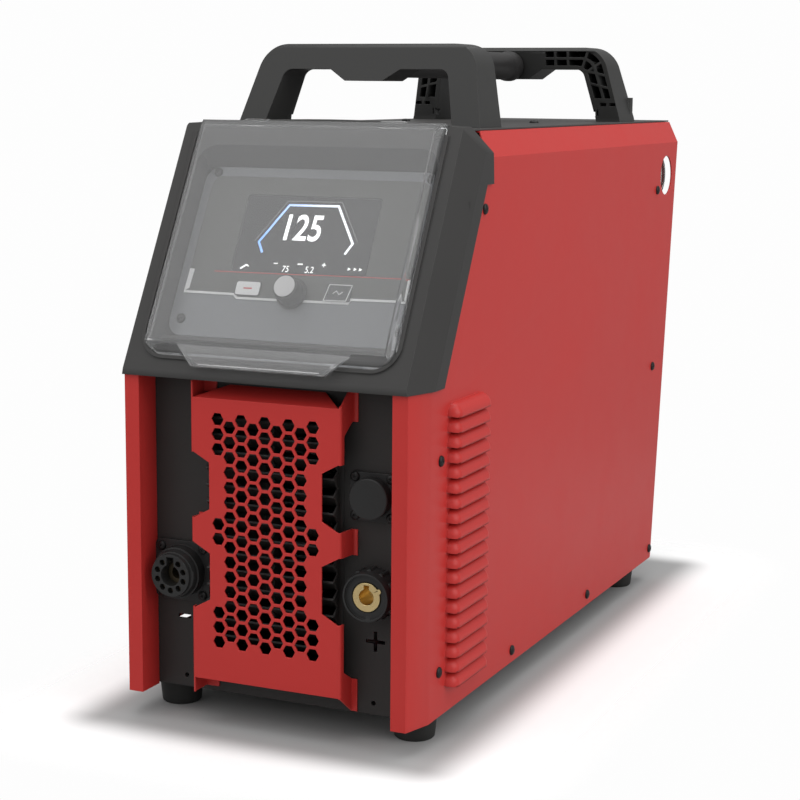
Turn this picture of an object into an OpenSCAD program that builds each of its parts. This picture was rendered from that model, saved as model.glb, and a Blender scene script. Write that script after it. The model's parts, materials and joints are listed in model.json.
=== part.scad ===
// Plasma cutting power source: folded steel case on rubber feet, moulded control bezel with a
// flip-up clear cover, guarded air outlet, sockets, carrying handle and the inverter inside.
// Millimetres, +Z up, front towards -Y. Origin: centre of the footprint, at the foot soles.

/* [Case] */
// Width over the two side panels
body_w = 280; // [240:1:330]
// Length along the bottom edge of the side panels
body_len = 657; // [600:1:760]
// Height of the upright part of the side panels
side_h = 462.5; // [440:0.5:520]
// Height of the sloped strip between side panel and roof
roof_rise = 23.5; // [12:0.5:30]
// How far that strip comes in
roof_inset = 12; // [6:0.5:20]
// Lean of the rear edge of the side panels, from upright
rear_lean = 7.4; // [0:0.1:12]
// Sheet metal thickness
sheet = 1.5; // [1:0.1:2.5]
// Clearance between sheets that lie next to each other
sheet_gap = 0.3; // [0.2:0.05:0.6]

/* [Front posts] */
// Flat width of the post face
post_face = 13.7; // [8:0.1:20]
// Sideways reach of the post's corner strip
post_corner_x = 8.3; // [5:0.1:14]
// Depth of the post's corner strip
post_corner_y = 28; // [20:0.5:36]
// Setback of the front panel behind the post face
panel_setback = 27.5; // [24:0.5:34]

/* [Feet] */
// Foot height
foot_h = 23; // [15:0.5:35]
// Foot radius at the sole
foot_r = 17.4; // [12:0.1:20]
// Foot radius under the floor
foot_top_r = 19.9; // [12:0.1:22]
// Sideways place of a foot from the middle
foot_x = 114; // [90:1:118]
// Front feet behind the post face
foot_front = 59; // [50:1:90]
// Rear feet ahead of the rear bottom corner
foot_rear = 46; // [35:1:80]
// Foot screw radius
foot_screw_r = 3; // [2:0.1:4]

/* [Side louvres] */
// Number of louvres on each side
louvre_count = 19; // [4:1:19]
// Louvre spacing
louvre_pitch = 12.8; // [12:0.05:14]
// Height of the lowest louvre's edge
louvre_low = 22; // [10:0.1:30]
// Louvre start behind the post face
louvre_front = 61; // [45:1:80]
// Louvre length
louvre_len = 81; // [40:1:140]
// Louvre bulge beyond the panel
louvre_bulge = 9.8; // [3:0.1:11]

/* [Bezel] */
// Height of the bezel's lower lip above the panel bottoms
bezel_z = 281; // [275:0.5:290]
// Slope of the bezel face, from upright
bezel_slope = 28.77; // [20:0.1:35]
// How far the rim of the bezel stands in from the side of the case, mm.
rim_inset = 8.7; // [-10:0.1:20]
// Bezel overhang beyond the side panel
bezel_proud = 2.5; // [1.5:0.1:4]
// Depth of the bezel's splayed flank, square to the face
flank_depth = 31.2; // [20:0.1:36]
// Depth of the bezel from front to back, level
bezel_depth = 55; // [45:0.5:70]
// Wall thickness of the bezel
bezel_wall = 2.6; // [2:0.1:3.5]
// Height of the bezel crown above the roof
crown_rise = 6.5; // [4:0.1:10]
// Crown radius across the bezel
crown_r = 1890; // [1200:10:4000]

/* [Control recess] */
// Width of the rim beside the seat of the cover, mm.
rim_w = 13.8; // [11.3:0.1:26.5]
// Depth of the cover seat
seat_depth = 4; // [3:0.1:6]
// Lower edge of the seat, up the slope
seat_low = 17.8; // [14:0.1:24]
// Corner radius of the seat
seat_r = 22; // [10:0.5:26]
// Depth of the control plate below the bezel face
plate_depth = 21; // [17:0.1:24]
// Room beside the control plate in its pocket, mm.
plate_gap = 2; // [1.5:0.1:13.5]
// Control plate height
plate_h = 159.6; // [150:0.1:165]
// Lower edge of the control plate, up the slope
plate_low = 44.4; // [40:0.1:48]
// Corner radius of the control plate
plate_r = 14; // [6:0.5:18]
// Control plate thickness
plate_t = 2.2; // [1.5:0.1:3]
// Screw pitch across the control plate
plate_screw_x = 200; // [180:0.5:206]
// Screw pitch up the control plate
plate_screw_y = 138.5; // [120:0.5:142]

/* [Display and keys] */
// Display window width
lcd_w = 127; // [100:0.5:130]
// Display window height
lcd_h = 70.4; // [55:0.1:74]
// Display centre, up the slope
lcd_v = 142.3; // [138:0.1:146]
// Row of knob and keys, up the slope
key_v = 90.5; // [86:0.1:94]
// Key distance from the middle
key_x = 42.5; // [36:0.5:60]
// Knob radius
knob_r = 11.7; // [9:0.1:13]
// Knob height
knob_h = 15.3; // [10:0.1:16]
// Key travel
key_travel = 0.5; // [0.3:0.05:0.8]
// Running clearance of turning and sliding pieces
run_gap = 0.3; // [0.25:0.01:0.5]

/* [Clear cover] */
// Step from the seat to the side wall of the cover, mm.
cover_gap = 2.5; // [1.5:0.1:13.5]
// Cover wall
cover_t = 2.5; // [2:0.1:3]
// Lift of the cover's lower edge above the bezel face
cover_lift = 6.5; // [5:0.1:10]
// Lower edge of the cover, up the slope
cover_low = 30; // [26:0.1:40]
// Hinge pin radius
hinge_pin_r = 1.5; // [1:0.1:2]
// Hinge distance from the middle
hinge_x = 65; // [40:1:90]

/* [Front guard] */
// Half width of the guard face
guard_half = 68.2; // [60:0.1:74]
// Half width of the guard at its notches
guard_notch_half = 52.8; // [50:0.1:56]
// Guard face behind the post face
guard_y = 4.5; // [2:0.1:8]
// Lower edge of the guard face
guard_low = 19; // [12:0.5:24]
// Upper edge of the guard face
guard_high = 263; // [255:0.5:266]
// Half width across the guard's feet
guard_foot_half = 75.3; // [72:0.1:80]
// Mesh pitch
mesh_pitch = 12.83; // [12:0.01:13.2]
// Mesh hole across flats
mesh_flat = 10.3; // [8:0.1:10.8]
// Mesh columns
mesh_cols = 9; // [5:2:9]
// Mesh rows in the full columns
mesh_rows = 16; // [10:1:16]
// Centre of the lowest mesh row
mesh_low = 53.4; // [50:0.1:58]

/* [Sockets] */
// Socket distance from the middle
socket_x = 91.5; // [88:0.1:96]
// Torch and work socket height
socket_z = 107.5; // [95:0.5:125]
// Remote socket height
remote_z = 188.3; // [170:0.1:200]
// Radius of the torch socket barrel
torch_r = 21; // [18:0.1:22]
// Bore of the torch socket
torch_bore_r = 9.3; // [7:0.1:9.5]
// Radius of the work socket
work_r = 21.3; // [18:0.1:22]
// Outer radius of the brass insert
insert_r = 12.2; // [10:0.1:13]
// Bore of the work socket
work_bore_r = 6.7; // [5:0.1:7]
// Remote socket cap radius
cap_r = 17.25; // [14:0.05:18]

/* [Handle] */
// Front arch foot behind the post face
arch_y = 177; // [165:1:200]
// Middle of the handle behind the post face
handle_mid = 400; // [380:1:430]
// Half width over the arch at its foot
arch_half = 118.5; // [110:0.5:124]
// Half width of the opening at its foot
arch_gap_half = 92.5; // [80:0.5:96]
// Arch height above the roof
arch_h = 72.5; // [60:0.5:90]
// Height of the arch's cross beam
beam_h = 22.6; // [18:0.1:28]
// Taper of the arch legs towards the top, degrees
arch_taper = 12.9; // [5:0.1:18]
// Lean of the arch's outer face, degrees
arch_lean = 20.7; // [10:0.1:25]
// Lean of the arch's inner face, degrees
arch_back_lean = 12.3; // [5:0.1:18]
// Arch thickness at its foot
arch_t = 51.5; // [40:0.5:60]
// How much taller the rear arch stands than the front one, mm.
rear_lift = 4.1; // [0:0.1:8]
// Grip radius
grip_r = 14; // [12:0.1:16]

/* [Rear] */
// Rear panel behind the post face
rear_panel_y = 648; // [600:0.5:650]
// Fan size
fan_size = 120; // [92:1:120]
// Fan depth
fan_depth = 38; // [25:1:38]
// Fan centre height
fan_z = 150; // [140:1:170]
// Gauge radius
gauge_r = 20; // [18:0.1:21]
// Gauge hole radius in the side panel
gauge_hole_r = 21.3; // [21:0.1:26]
// Gauge centre behind the post face
gauge_y = 676; // [670:0.5:682]
// Gauge centre height
gauge_z = 427; // [415:0.5:430]
// Gauge face below the side panel's skin
gauge_inset = 7; // [5:0.1:12]

/* [Hidden] */

// Derived places. Working frame: x from the middle, y back from the post faces, z up from the
// bottom edge of the side panels.
half_w = body_w / 2;
bezel_half = half_w - rim_inset;
seat_half = bezel_half - rim_w;
pocket_step = 4;
plate_w = 2 * (seat_half - pocket_step - plate_gap);
cover_half = seat_half - cover_gap;
slope_k = tan(bezel_slope);
inner_half = half_w - sheet;
slope_y = -5.13;
lean_k = tan(rear_lean);
roof_z = side_h + roof_rise;
crown_z = roof_z + crown_rise;
rear_y = body_len + roof_z * lean_k;
roof_half = half_w - roof_inset - sheet_gap;
cover_face = cover_lift + cover_t;
tab_low = 7;
front_y = slope_y + tab_low * sin(bezel_slope) - cover_face * cos(bezel_slope);
mid_y = (front_y + rear_y) / 2;
hole_r = 2.15;
shank_r = 2;
head_r = 4.7;
head_h = 3;
floor_half = inner_half - sheet_gap;
floor_front = panel_setback + 2 * sheet + 2 * sheet_gap;
floor_rear = body_len - 1.5;
flange_h = 22;
panel_half = inner_half - sheet_gap;
panel_back = panel_setback + sheet;
hinge_v = (crown_z - bezel_z) / cos(bezel_slope) - 0.28;
hinge_w = -7;
foot_places = [for (x = [-foot_x, foot_x], y = [foot_front, body_len - foot_rear]) [x, y]];
side_screw_places = [[219.7, 11.4], [434.8, 11.4], [body_len - 6, 11.4], [48, 39.2], [48, 218.8],
  [rear_panel_y - 5, 219.3], [rear_panel_y - 5, 412.2]];
bezel_screw_z = 419.5;
bezel_screw_y = slope_y + (bezel_screw_z - bezel_z) * slope_k + 66.4;
bezel_back = slope_y + (roof_z - bezel_z) * slope_k + 20.6;
roof_front = bezel_back - 6;
top_screw_places = [[70, 443], [-70, 443]];
arch_bolt_x = 104.5;
torch_z = socket_z - 1.3;
tunnel_half = 66;
tunnel_top = 266;
fan_front = rear_panel_y - fan_depth;
switch_x = -88;
switch_z = 400;
gland_x = -88;
gland_z = 66;
reg_x = 88;
knob_base = -plate_depth + 1.2;

// ---------- helpers ----------
module placed() translate([0, -mid_y, foot_h]) children();
module slope() translate([0, slope_y, bezel_z]) rotate([90 - bezel_slope, 0, 0]) children();
module both() { children(); mirror([1, 0, 0]) children(); }
module prism_y(y0, y1) translate([0, y1, 0]) rotate([90, 0, 0]) linear_extrude(y1 - y0) children();
module prism_x(x0, x1) translate([x0, 0, 0]) rotate([90, 0, 90]) linear_extrude(x1 - x0) children();
module rod_x(r, x0, x1, y, z) translate([x0, y, z]) rotate([0, 90, 0]) cylinder(r = r, h = x1 - x0, $fn = 48);
module rod_y(r, y0, y1, x, z) translate([x, y0, z]) rotate([-90, 0, 0]) cylinder(r = r, h = y1 - y0, $fn = 64);
module cone_y(r0, r1, y0, y1, x, z)
  translate([x, y0, z]) rotate([-90, 0, 0]) cylinder(r1 = r0, r2 = r1, h = y1 - y0, $fn = 64);

// Rectangle with true arcs at its corners.
module soft_rect(w, h, r) {
  square([w - 2 * r, h], center = true);
  square([w, h - 2 * r], center = true);
  for (x = [-1, 1], y = [-1, 1])
    translate([x * (w / 2 - r), y * (h / 2 - r)]) circle(r = r, $fn = 48);
}

function unit(v) = v / norm(v);
function turned(v) = [-v[1], v[0]];
function mitre(p, i, t) =
  i == 0 ? p[0] + turned(unit(p[1] - p[0])) * t :
  i == len(p) - 1 ? p[i] + turned(unit(p[i] - p[i - 1])) * t :
  let (a = turned(unit(p[i] - p[i - 1])), b = turned(unit(p[i + 1] - p[i])))
    p[i] + (a + b) * t / (1 + a * b);

// Folded sheet seen on edge: a path of points, t thick towards its left.
module band(p, t)
  polygon(concat(p, [for (i = [len(p) - 1:-1:0]) mitre(p, i, t)]));

// Convex outline with a true arc of its own radius at each corner; points anticlockwise.
module soft_poly(p, r) {
  n = len(p);
  function pull(i) = let (a = unit(p[(i + n - 1) % n] - p[i]), b = unit(p[(i + 1) % n] - p[i]))
    r[i] / tan(acos(a * b) / 2);
  polygon([for (i = [0:n - 1]) each r[i] > 0 ?
    [for (s = [-1, 1]) p[i] + unit(p[(i + n + s) % n] - p[i]) * pull(i)] : [p[i]]]);
  for (i = [0:n - 1]) {
    a = unit(p[(i + n - 1) % n] - p[i]);
    b = unit(p[(i + 1) % n] - p[i]);
    if (r[i] > 0)
      translate(p[i] + unit(a + b) * r[i] / sin(acos(a * b) / 2)) circle(r = r[i], $fn = 72);
  }
}

// Dome head screw, head upwards, seat at z = 0, with a hexagon recess.
module dome_screw(hr, hh, sr, len) {
  big = (hr * hr + hh * hh) / (2 * hh);
  difference() {
    union() {
      intersection() {
        translate([0, 0, hh - big]) sphere(r = big, $fn = 64);
        cylinder(r = hr, h = hh, $fn = 48);
      }
      translate([0, 0, -len]) cylinder(r = sr, h = len, $fn = 32);
    }
    translate([0, 0, hh * 0.45]) cylinder(r = hr * 0.36, h = hh, $fn = 6);
  }
}
module screw_right(y, z, len) translate([half_w, y, z]) rotate([0, 90, 0]) dome_screw(head_r, head_h, shank_r, len);
module screw_front(x, y, z, len) translate([x, y, z]) rotate([90, 0, 0]) children();

// Hose along points that turn by right angles, with smooth bends.
module bend(p, a, b, r, big) {
  c = p - a * big + b * big;
  n = cross(a, b);
  multmatrix([[-b[0], a[0], n[0], c[0]], [-b[1], a[1], n[1], c[1]], [-b[2], a[2], n[2], c[2]], [0, 0, 0, 1]])
    rotate_extrude(angle = 90, $fn = 64) translate([big, 0]) circle(r = r, $fn = 32);
}
module pipe(p, q, r) {
  d = q - p;
  l = norm(d);
  translate(p) rotate([0, acos(d[2] / l), atan2(d[1], d[0])]) cylinder(r = r, h = l, $fn = 32);
}
module hose(p, r, big) {
  n = len(p);
  for (i = [0:n - 2]) {
    a = unit(p[i + 1] - p[i]);
    pipe(p[i] + a * (i == 0 ? 0 : big), p[i + 1] - a * (i == n - 2 ? 0 : big), r);
  }
  for (i = [1:n - 2]) bend(p[i], unit(p[i] - p[i - 1]), unit(p[i + 1] - p[i]), r, big);
}

// ---------- case ----------
module base_plate() color("#3b3a39") difference() {
  union() {
    translate([-floor_half, floor_front, 0]) cube([2 * floor_half, floor_rear - floor_front, sheet]);
    both() translate([floor_half - sheet, floor_front, 0])
      cube([sheet, floor_rear - floor_front, flange_h]);
    translate([-floor_half + 20, floor_front, 0]) cube([2 * floor_half - 40, sheet, flange_h]);
    both() translate([104, 110, sheet]) rotate([-90, 0, 0]) cylinder(r = 4, h = 400, $fn = 4);
  }
  both() translate([104, 111.5, 0]) rotate([-90, 0, 0]) cylinder(r = 4, h = 397, $fn = 4);
  for (p = foot_places) translate([p[0], p[1], -1]) cylinder(r = foot_screw_r + 0.2, h = 6, $fn = 32);
  for (p = side_screw_places) if (p[1] < flange_h) both() rod_x(hole_r, floor_half - 5, floor_half + 1, p[0], p[1]);
  for (x = [-90, 90]) rod_y(hole_r, floor_front - 1, floor_front + 5, x, 11.4);
}

module rubber_foot() difference() {
  rotate_extrude($fn = 72) polygon([[0, -foot_h], [foot_r - 1.5, -foot_h], [foot_r, -foot_h + 1.5],
    [foot_top_r - 0.4, -2], [foot_top_r, 0], [0, 0]]);
  translate([0, 0, -foot_h - 1]) cylinder(r = 7, h = foot_h - 5, $fn = 48);
  translate([0, 0, -foot_h]) cylinder(r = foot_screw_r + 0.2, h = foot_h + 1, $fn = 32);
}
module rubber_feet() color("#2b2a29") for (p = foot_places) translate([p[0], p[1], 0]) rubber_foot();
module foot_screws() color("#b9b9b6") for (p = foot_places) translate([p[0], p[1], 0]) {
  translate([0, 0, -6]) mirror([0, 0, 1]) dome_screw(5.6, 3.4, foot_screw_r, 0.01);
  translate([0, 0, -6]) cylinder(r = foot_screw_r, h = 16, $fn = 32);
  translate([0, 0, sheet]) difference() {
    cylinder(r = 5.8, h = 5, $fn = 6);
    translate([0, 0, -1]) cylinder(r = foot_screw_r - 0.5, h = 7, $fn = 32);
  }
}

// One louvre hood: a little over a quarter of a round-ended bar, hollow and open below. The
// bar's axis lies inside the sheet, and its lower edge turns in under it.
hood_root = sheet * 0.4;
hood_r = louvre_bulge + hood_root;
hood_under = 10;
hood_step = hood_r * sin(hood_under);
hood_run = louvre_len - 2 * hood_r;
module bar_outline() {
  square([hood_r, hood_run]);
  for (y = [0, hood_run]) translate([0, y]) intersection() {
    circle(r = hood_r, $fn = 64);
    translate([0, -hood_r]) square([hood_r, 2 * hood_r]);
  }
}
module hood() translate([half_w - hood_root, louvre_front + hood_r, hood_step])
  rotate([-90, 0, 0]) rotate([0, 0, -93]) rotate_extrude(angle = 93 + hood_under, $fn = 64) bar_outline();
module hood_hollow() prism_y(louvre_front + hood_r - 3, louvre_front + hood_r + hood_run + 3)
  translate([half_w - hood_root, 0]) intersection() {
    union() {
      translate([0, hood_step]) circle(r = hood_r - sheet, $fn = 64);
      translate([-4, -0.2]) square([4 + hood_r - sheet, hood_step + 0.2]);
      translate([-4, hood_step]) square([4, hood_r - sheet]);
    }
    translate([-4, -0.2]) square([20, 20]);
  }

// The right panel: a flat side, a sloped strip under the roof and a folded corner post.
module side_shell() {
  intersection() {
    prism_y(0, rear_y + 10) band([[half_w, 0], [half_w, side_h],
      [half_w - roof_inset * (1 - (sheet + sheet_gap) / roof_rise), roof_z - sheet - sheet_gap],
      [half_w - roof_inset - 18, roof_z - sheet - sheet_gap]], sheet);
    prism_x(half_w - 60, half_w + 1) polygon([[post_corner_y, 0], [body_len, 0], [rear_y, roof_z],
      [slope_y + 46 + slope_k * (roof_z - bezel_z), roof_z], [slope_y + 46, bezel_z - 2 - sheet_gap],
      [post_corner_y, bezel_z - 2 - sheet_gap]]);
  }
  linear_extrude(bezel_z - 2 - sheet_gap) band([[half_w - post_corner_x - post_face, panel_setback - sheet_gap],
    [half_w - post_corner_x - post_face, 0], [half_w - post_corner_x, 0], [half_w, post_corner_y],
    [half_w, post_corner_y + 3]], sheet);
}
module side_panel() difference() {
  union() {
    side_shell();
    for (i = [0:louvre_count - 1]) translate([0, 0, louvre_low + i * louvre_pitch]) hood();
  }
  for (i = [0:louvre_count - 1]) translate([0, 0, louvre_low + i * louvre_pitch]) hood_hollow();
  for (p = side_screw_places) rod_x(hole_r, half_w - 8, half_w + 1, p[0], p[1]);
  rod_x(hole_r, half_w - 8, half_w + 1, bezel_screw_y, bezel_screw_z);
}
module side_panel_right() color("#b8302c") difference() {
  side_panel();
  rod_x(gauge_hole_r, half_w - 8, half_w + 1, gauge_y, gauge_z);
}
module side_panel_left() color("#b8302c") mirror([1, 0, 0]) side_panel();
module side_screws() color("#242322") both() {
  for (p = side_screw_places) screw_right(p[0], p[1], 6);
  screw_right(bezel_screw_y, bezel_screw_z, 12);
}

module top_cover() color("#454443") difference() {
  union() {
    translate([-roof_half, roof_front, roof_z - sheet]) cube([2 * roof_half, rear_y - roof_front, sheet]);
    translate([-roof_half + 20, rear_y - sheet, roof_z - 14]) cube([2 * roof_half - 40, sheet, 13]);
  }
  for (p = top_screw_places) translate([p[0], p[1], roof_z - 6]) cylinder(r = hole_r, h = 12, $fn = 32);
  arch_bolts(hole_r + 1);
}
module roof_rail() color("#8b8d8e") difference() {
  prism_y(431, 455) band([[109, roof_z - 36], [109, roof_z - sheet], [-109, roof_z - sheet], [-109, roof_z - 36]], sheet);
  for (p = top_screw_places) translate([p[0], p[1], roof_z - 12]) cylinder(r = hole_r, h = 14, $fn = 32);
}
module top_screws() color("#242322") for (p = top_screw_places)
  translate([p[0], p[1], roof_z]) dome_screw(head_r, head_h, shank_r, 7);

// ---------- front ----------
module front_panel() color("#3d3c3b") difference() {
  union() {
    translate([-panel_half, panel_setback, sheet + sheet_gap])
      cube([2 * panel_half, sheet, bezel_z - 3 - sheet - sheet_gap]);
    translate([-120, panel_setback, bezel_z - 10]) cube([240, sheet, 26]);
    both() translate([panel_half - sheet, panel_setback, flange_h + 2])
      cube([sheet, 30, bezel_z - 30 - flange_h]);
  }
  translate([0, 0, (guard_low + guard_high) / 2 + 4]) prism_y(panel_setback - 1, panel_back + 1)
    soft_rect(125, guard_high - guard_low - 6, 5);
  rod_y(torch_r, panel_setback - 1, panel_back + 1, -socket_x, torch_z);
  rod_y(14, panel_setback - 1, panel_back + 1, socket_x, socket_z);
  rod_y(13.6, panel_setback - 1, panel_back + 1, socket_x - 1.5, remote_z);
  for (p = socket_screw_places) rod_y(hole_r - 0.5, panel_setback - 1, panel_back + 1, p[0], p[1]);
  for (x = [-90, 90]) rod_y(hole_r, panel_setback - 1, panel_back + 1, x, 11.4);
  for (p = side_screw_places) if (p[0] < 100) both() rod_x(hole_r, panel_half - 5, panel_half + 1, p[0], p[1]);
  prism_y(panel_setback - 1, panel_back + 1) {
    translate([socket_x, 64.9]) { square([17.5, 3.3], center = true); square([3.3, 17.5], center = true); }
    translate([-socket_x, 64.6]) square([12.4, 3.3], center = true);
  }
}
socket_screw_places = concat(
  [for (x = [-1, 1], z = [-1, 1]) [-socket_x + x * 20.3, torch_z + z * 20.3]],
  [for (x = [-1, 1], z = [-1, 1]) [socket_x - 1.5 + x * 16.3, remote_z + z * 16.3]]);

// Sloping blades in a moulded frame that clips behind the panel opening.
blade_pitch = 14.5;
module outlet_louvres() color("#1b1b1b") difference() {
  union() {
    translate([0, 0, (guard_low + guard_high) / 2 + 4]) prism_y(panel_back, panel_back + 2.5) difference() {
      soft_rect(131, guard_high - guard_low, 6);
      square([118, guard_high - guard_low - 14], center = true);
    }
    for (x = [-60.5, -1, 58.5]) translate([x, 0, 0]) prism_x(0, 2) polygon(concat(
      [[panel_back + 2.5, guard_low + 8], [panel_back + 2.5, guard_high - 2]],
      [for (i = [15:-1:0]) each [[13, guard_low + 15 + i * blade_pitch + 9],
        [21, guard_low + 15 + i * blade_pitch]]]));
    for (i = [0:15]) prism_x(-60, 60) let (z = guard_low + 15 + i * blade_pitch)
      polygon([[11.5, z + 8.4], [12.5, z + 9.8], [panel_back + 2, z - 0.8], [panel_back + 2, z - 3]]);
  }
}

hex_r = mesh_flat / sqrt(3);
mesh_mid = (mesh_cols - 1) / 2;
module mesh_holes() for (c = [0:mesh_cols - 1]) {
  odd = (c + 1) % 2;
  n = odd == 1 ? mesh_rows : mesh_rows - 1;
  for (j = [0:n - 1])
    if (abs(c - mesh_mid) < mesh_mid || j < 3 || j > n - 4 || (j > 6 && j < n - 7))
      translate([(c - mesh_mid) * mesh_pitch * sqrt(3) / 2, mesh_low + (j + (1 - odd) / 2) * mesh_pitch])
        circle(r = hex_r, $fn = 6);
}
module guard_face() difference() {
  translate([-guard_half, guard_low]) square([2 * guard_half, guard_high - guard_low]);
  both() for (z = [81.2, 159.6])
    polygon([[guard_half + 1, z - 0.6], [guard_notch_half, z + 8.4], [guard_notch_half, z + 48.6],
      [guard_half + 1, z + 57.6]]);
  mesh_holes();
}
fold = 2.3;
module guard_wall() linear_extrude(bezel_z) {
  difference() {
    translate([guard_half, guard_y + fold]) circle(r = fold, $fn = 48);
    translate([guard_half, guard_y + fold]) circle(r = fold - sheet, $fn = 48);
    translate([guard_half - 10, guard_y - 1]) square([10, 20]);
    translate([guard_half - 10, guard_y + fold]) square([20, 20]);
  }
  translate([guard_half + fold - sheet, guard_y + fold])
    square([sheet, panel_setback - guard_y - fold]);
  translate([guard_half + fold - sheet, panel_setback - sheet])
    square([guard_foot_half - guard_half - fold + sheet, sheet]);
}
module guard_side(top, low) intersection() {
  guard_wall();
  prism_x(0, guard_foot_half + 1) {
    polygon(concat([[guard_y - 1, 216.2], [10.6, 216.2], [10.6, 240], [panel_setback, 250.5],
      [panel_setback, bezel_z - 4]], top));
    polygon([[guard_y - 1, 138.6], [panel_setback, 137.2], [panel_setback, 159.2], [guard_y - 1, 160]]);
    polygon(concat(low, [[panel_setback, 30], [10.6, 40], [10.6, 81.6], [guard_y - 1, 81.6]]));
  }
}
module guard_inner_foot() for (z = [[6, 28], [guard_high + 2, bezel_z - 4]])
  translate([-guard_half - fold, panel_setback - sheet, z[0]]) cube([13.4, sheet, z[1] - z[0]]);
module front_guard() color("#bc322e") {
  prism_y(guard_y, guard_y + sheet) guard_face();
  guard_side([[20, bezel_z - 5], [guard_y - 1, guard_high]], [[guard_y - 1, guard_low + 0.5], [panel_setback, 2]]);
  mirror([1, 0, 0]) guard_side([[guard_y - 1, bezel_z - 4]], [[guard_y - 1, 6], [panel_setback, 6]]);
  guard_inner_foot();
  intersection() {
    prism_x(-guard_half, guard_half) band([[guard_y, guard_high], [panel_setback, guard_high + 9]], -sheet);
    linear_extrude(bezel_z) polygon([[-guard_half, guard_y], [guard_half, guard_y], [45, panel_setback],
      [-45, panel_setback]]);
  }
}

// ---------- control bezel ----------
bezel_low = bezel_z - 2;
chin_y = -3.2;
crease_half = half_w + bezel_proud;
flank_back = 48;
flank_top = side_h - 22.5;
function on_slope(z, w) = slope_y + (z - bezel_z) * slope_k - w / cos(bezel_slope);
module across(u0, u1) translate([u0, 0, 0]) rotate([90, 0, 90]) linear_extrude(u1 - u0) children();

module bezel_outer() intersection() {
  prism_x(-160, 160) polygon([[chin_y, bezel_low], [on_slope(bezel_low, -flank_back), bezel_low],
    [on_slope(flank_top, -flank_back), flank_top], [on_slope(flank_top, -flank_back) + 15, flank_top],
    [on_slope(flank_top, -flank_back) + 13, side_h + 4], [bezel_back, roof_z + 3], [bezel_back, crown_z + 6], [on_slope(crown_z - 0.6, 0) + 5, crown_z + 6],
    [on_slope(crown_z - 4, 0), crown_z - 4], [chin_y, bezel_z + (chin_y - slope_y) / slope_k]]);
  slope() translate([0, 300, 0]) rotate([90, 0, 0]) linear_extrude(400)
    polygon([[-bezel_half, 0], [-crease_half, -flank_depth], [-crease_half, -90], [crease_half, -90],
      [crease_half, -flank_depth], [bezel_half, 0]]);
  prism_y(-40, 200) intersection() {
    polygon([[-160, bezel_low], [160, bezel_low], [160, side_h + 3], [crease_half, side_h + 3.5],
      [half_w - roof_inset + 2, roof_z + 2], [100, crown_z + 6], [-100, crown_z + 6],
      [-half_w + roof_inset - 2, roof_z + 2], [-crease_half, side_h + 3.5], [-160, side_h + 3]]);
    translate([0, crown_z - crown_r]) circle(r = crown_r, $fn = 720);
  }
}
module bezel_hollow() intersection() {
  prism_x(-160, 160) polygon([[chin_y + bezel_wall, bezel_low + bezel_wall],
    [panel_setback - 1, bezel_low + bezel_wall], [panel_setback - 1, bezel_low - 5], [200, bezel_low - 5],
    [200, crown_z + 20], [on_slope(crown_z + 20, -bezel_wall), crown_z + 20],
    [chin_y + bezel_wall, bezel_z + (chin_y + bezel_wall - on_slope(bezel_z, -bezel_wall)) / slope_k]]);
  slope() translate([0, 300, 0]) rotate([90, 0, 0]) linear_extrude(500)
    polygon([[-bezel_half + bezel_wall, -1], [-crease_half + bezel_wall + 0.3, -flank_depth + 1],
      [-half_w - sheet_gap, -flank_depth - 4], [-half_w - sheet_gap, -200], [half_w + sheet_gap, -200],
      [half_w + sheet_gap, -flank_depth - 4], [crease_half - bezel_wall - 0.3, -flank_depth + 1],
      [bezel_half - bezel_wall, -1]]);
  prism_y(-40, 210) polygon([[-160, bezel_low - 5], [160, bezel_low - 5], [160, side_h + 0.5],
    [half_w + sheet_gap, side_h + 0.2], [half_w - roof_inset + 0.5, roof_z + sheet_gap],
    [-half_w + roof_inset - 0.5, roof_z + sheet_gap], [-half_w - sheet_gap, side_h + 0.2],
    [-160, side_h + 0.5]]);
}
// Seat, pocket and ledge for the control plate, as a tray behind the bezel face.
tray_low = plate_depth + plate_t + 3;
pocket_low = seat_low + 4;
pocket_high = plate_low + plate_h + 13;
plate_mid = plate_low + plate_h / 2;
seat_high = hinge_v + 1;
module tray() intersection() {
  bezel_outer();
  slope() across(-seat_half - bezel_wall, seat_half + bezel_wall)
    polygon([[seat_low - bezel_wall, -0.5], [seat_low - bezel_wall, -seat_depth - 4],
      [plate_low - 2, -tray_low], [plate_low + plate_h + 2.5, -tray_low], [pocket_high + 6, -seat_depth - 3],
      [seat_high + 6, -seat_depth - 3], [seat_high + 6, -0.5]]);
}
module lids_notch() slope() translate([0, hinge_v, hinge_w]) rod_x(5.7, hinge_x - 11.5, hinge_x + 11.5, 0, 0);
ridge_w = 3.2;
ridge_h = 1.8;
module seat_ridge() slope() intersection() {
  translate([0, 0, -seat_depth]) linear_extrude(seat_depth + ridge_h) translate([0, (seat_low + 300) / 2])
    soft_rect(2 * (seat_half + ridge_w), 300 - seat_low + 2 * ridge_w, seat_r + ridge_w);
  across(-150, 150) polygon([[0, -seat_depth - 1], [0, 20], [hinge_v - 17, 20], [hinge_v - 13, 0],
    [hinge_v - 13, -seat_depth - 1]]);
}
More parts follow.
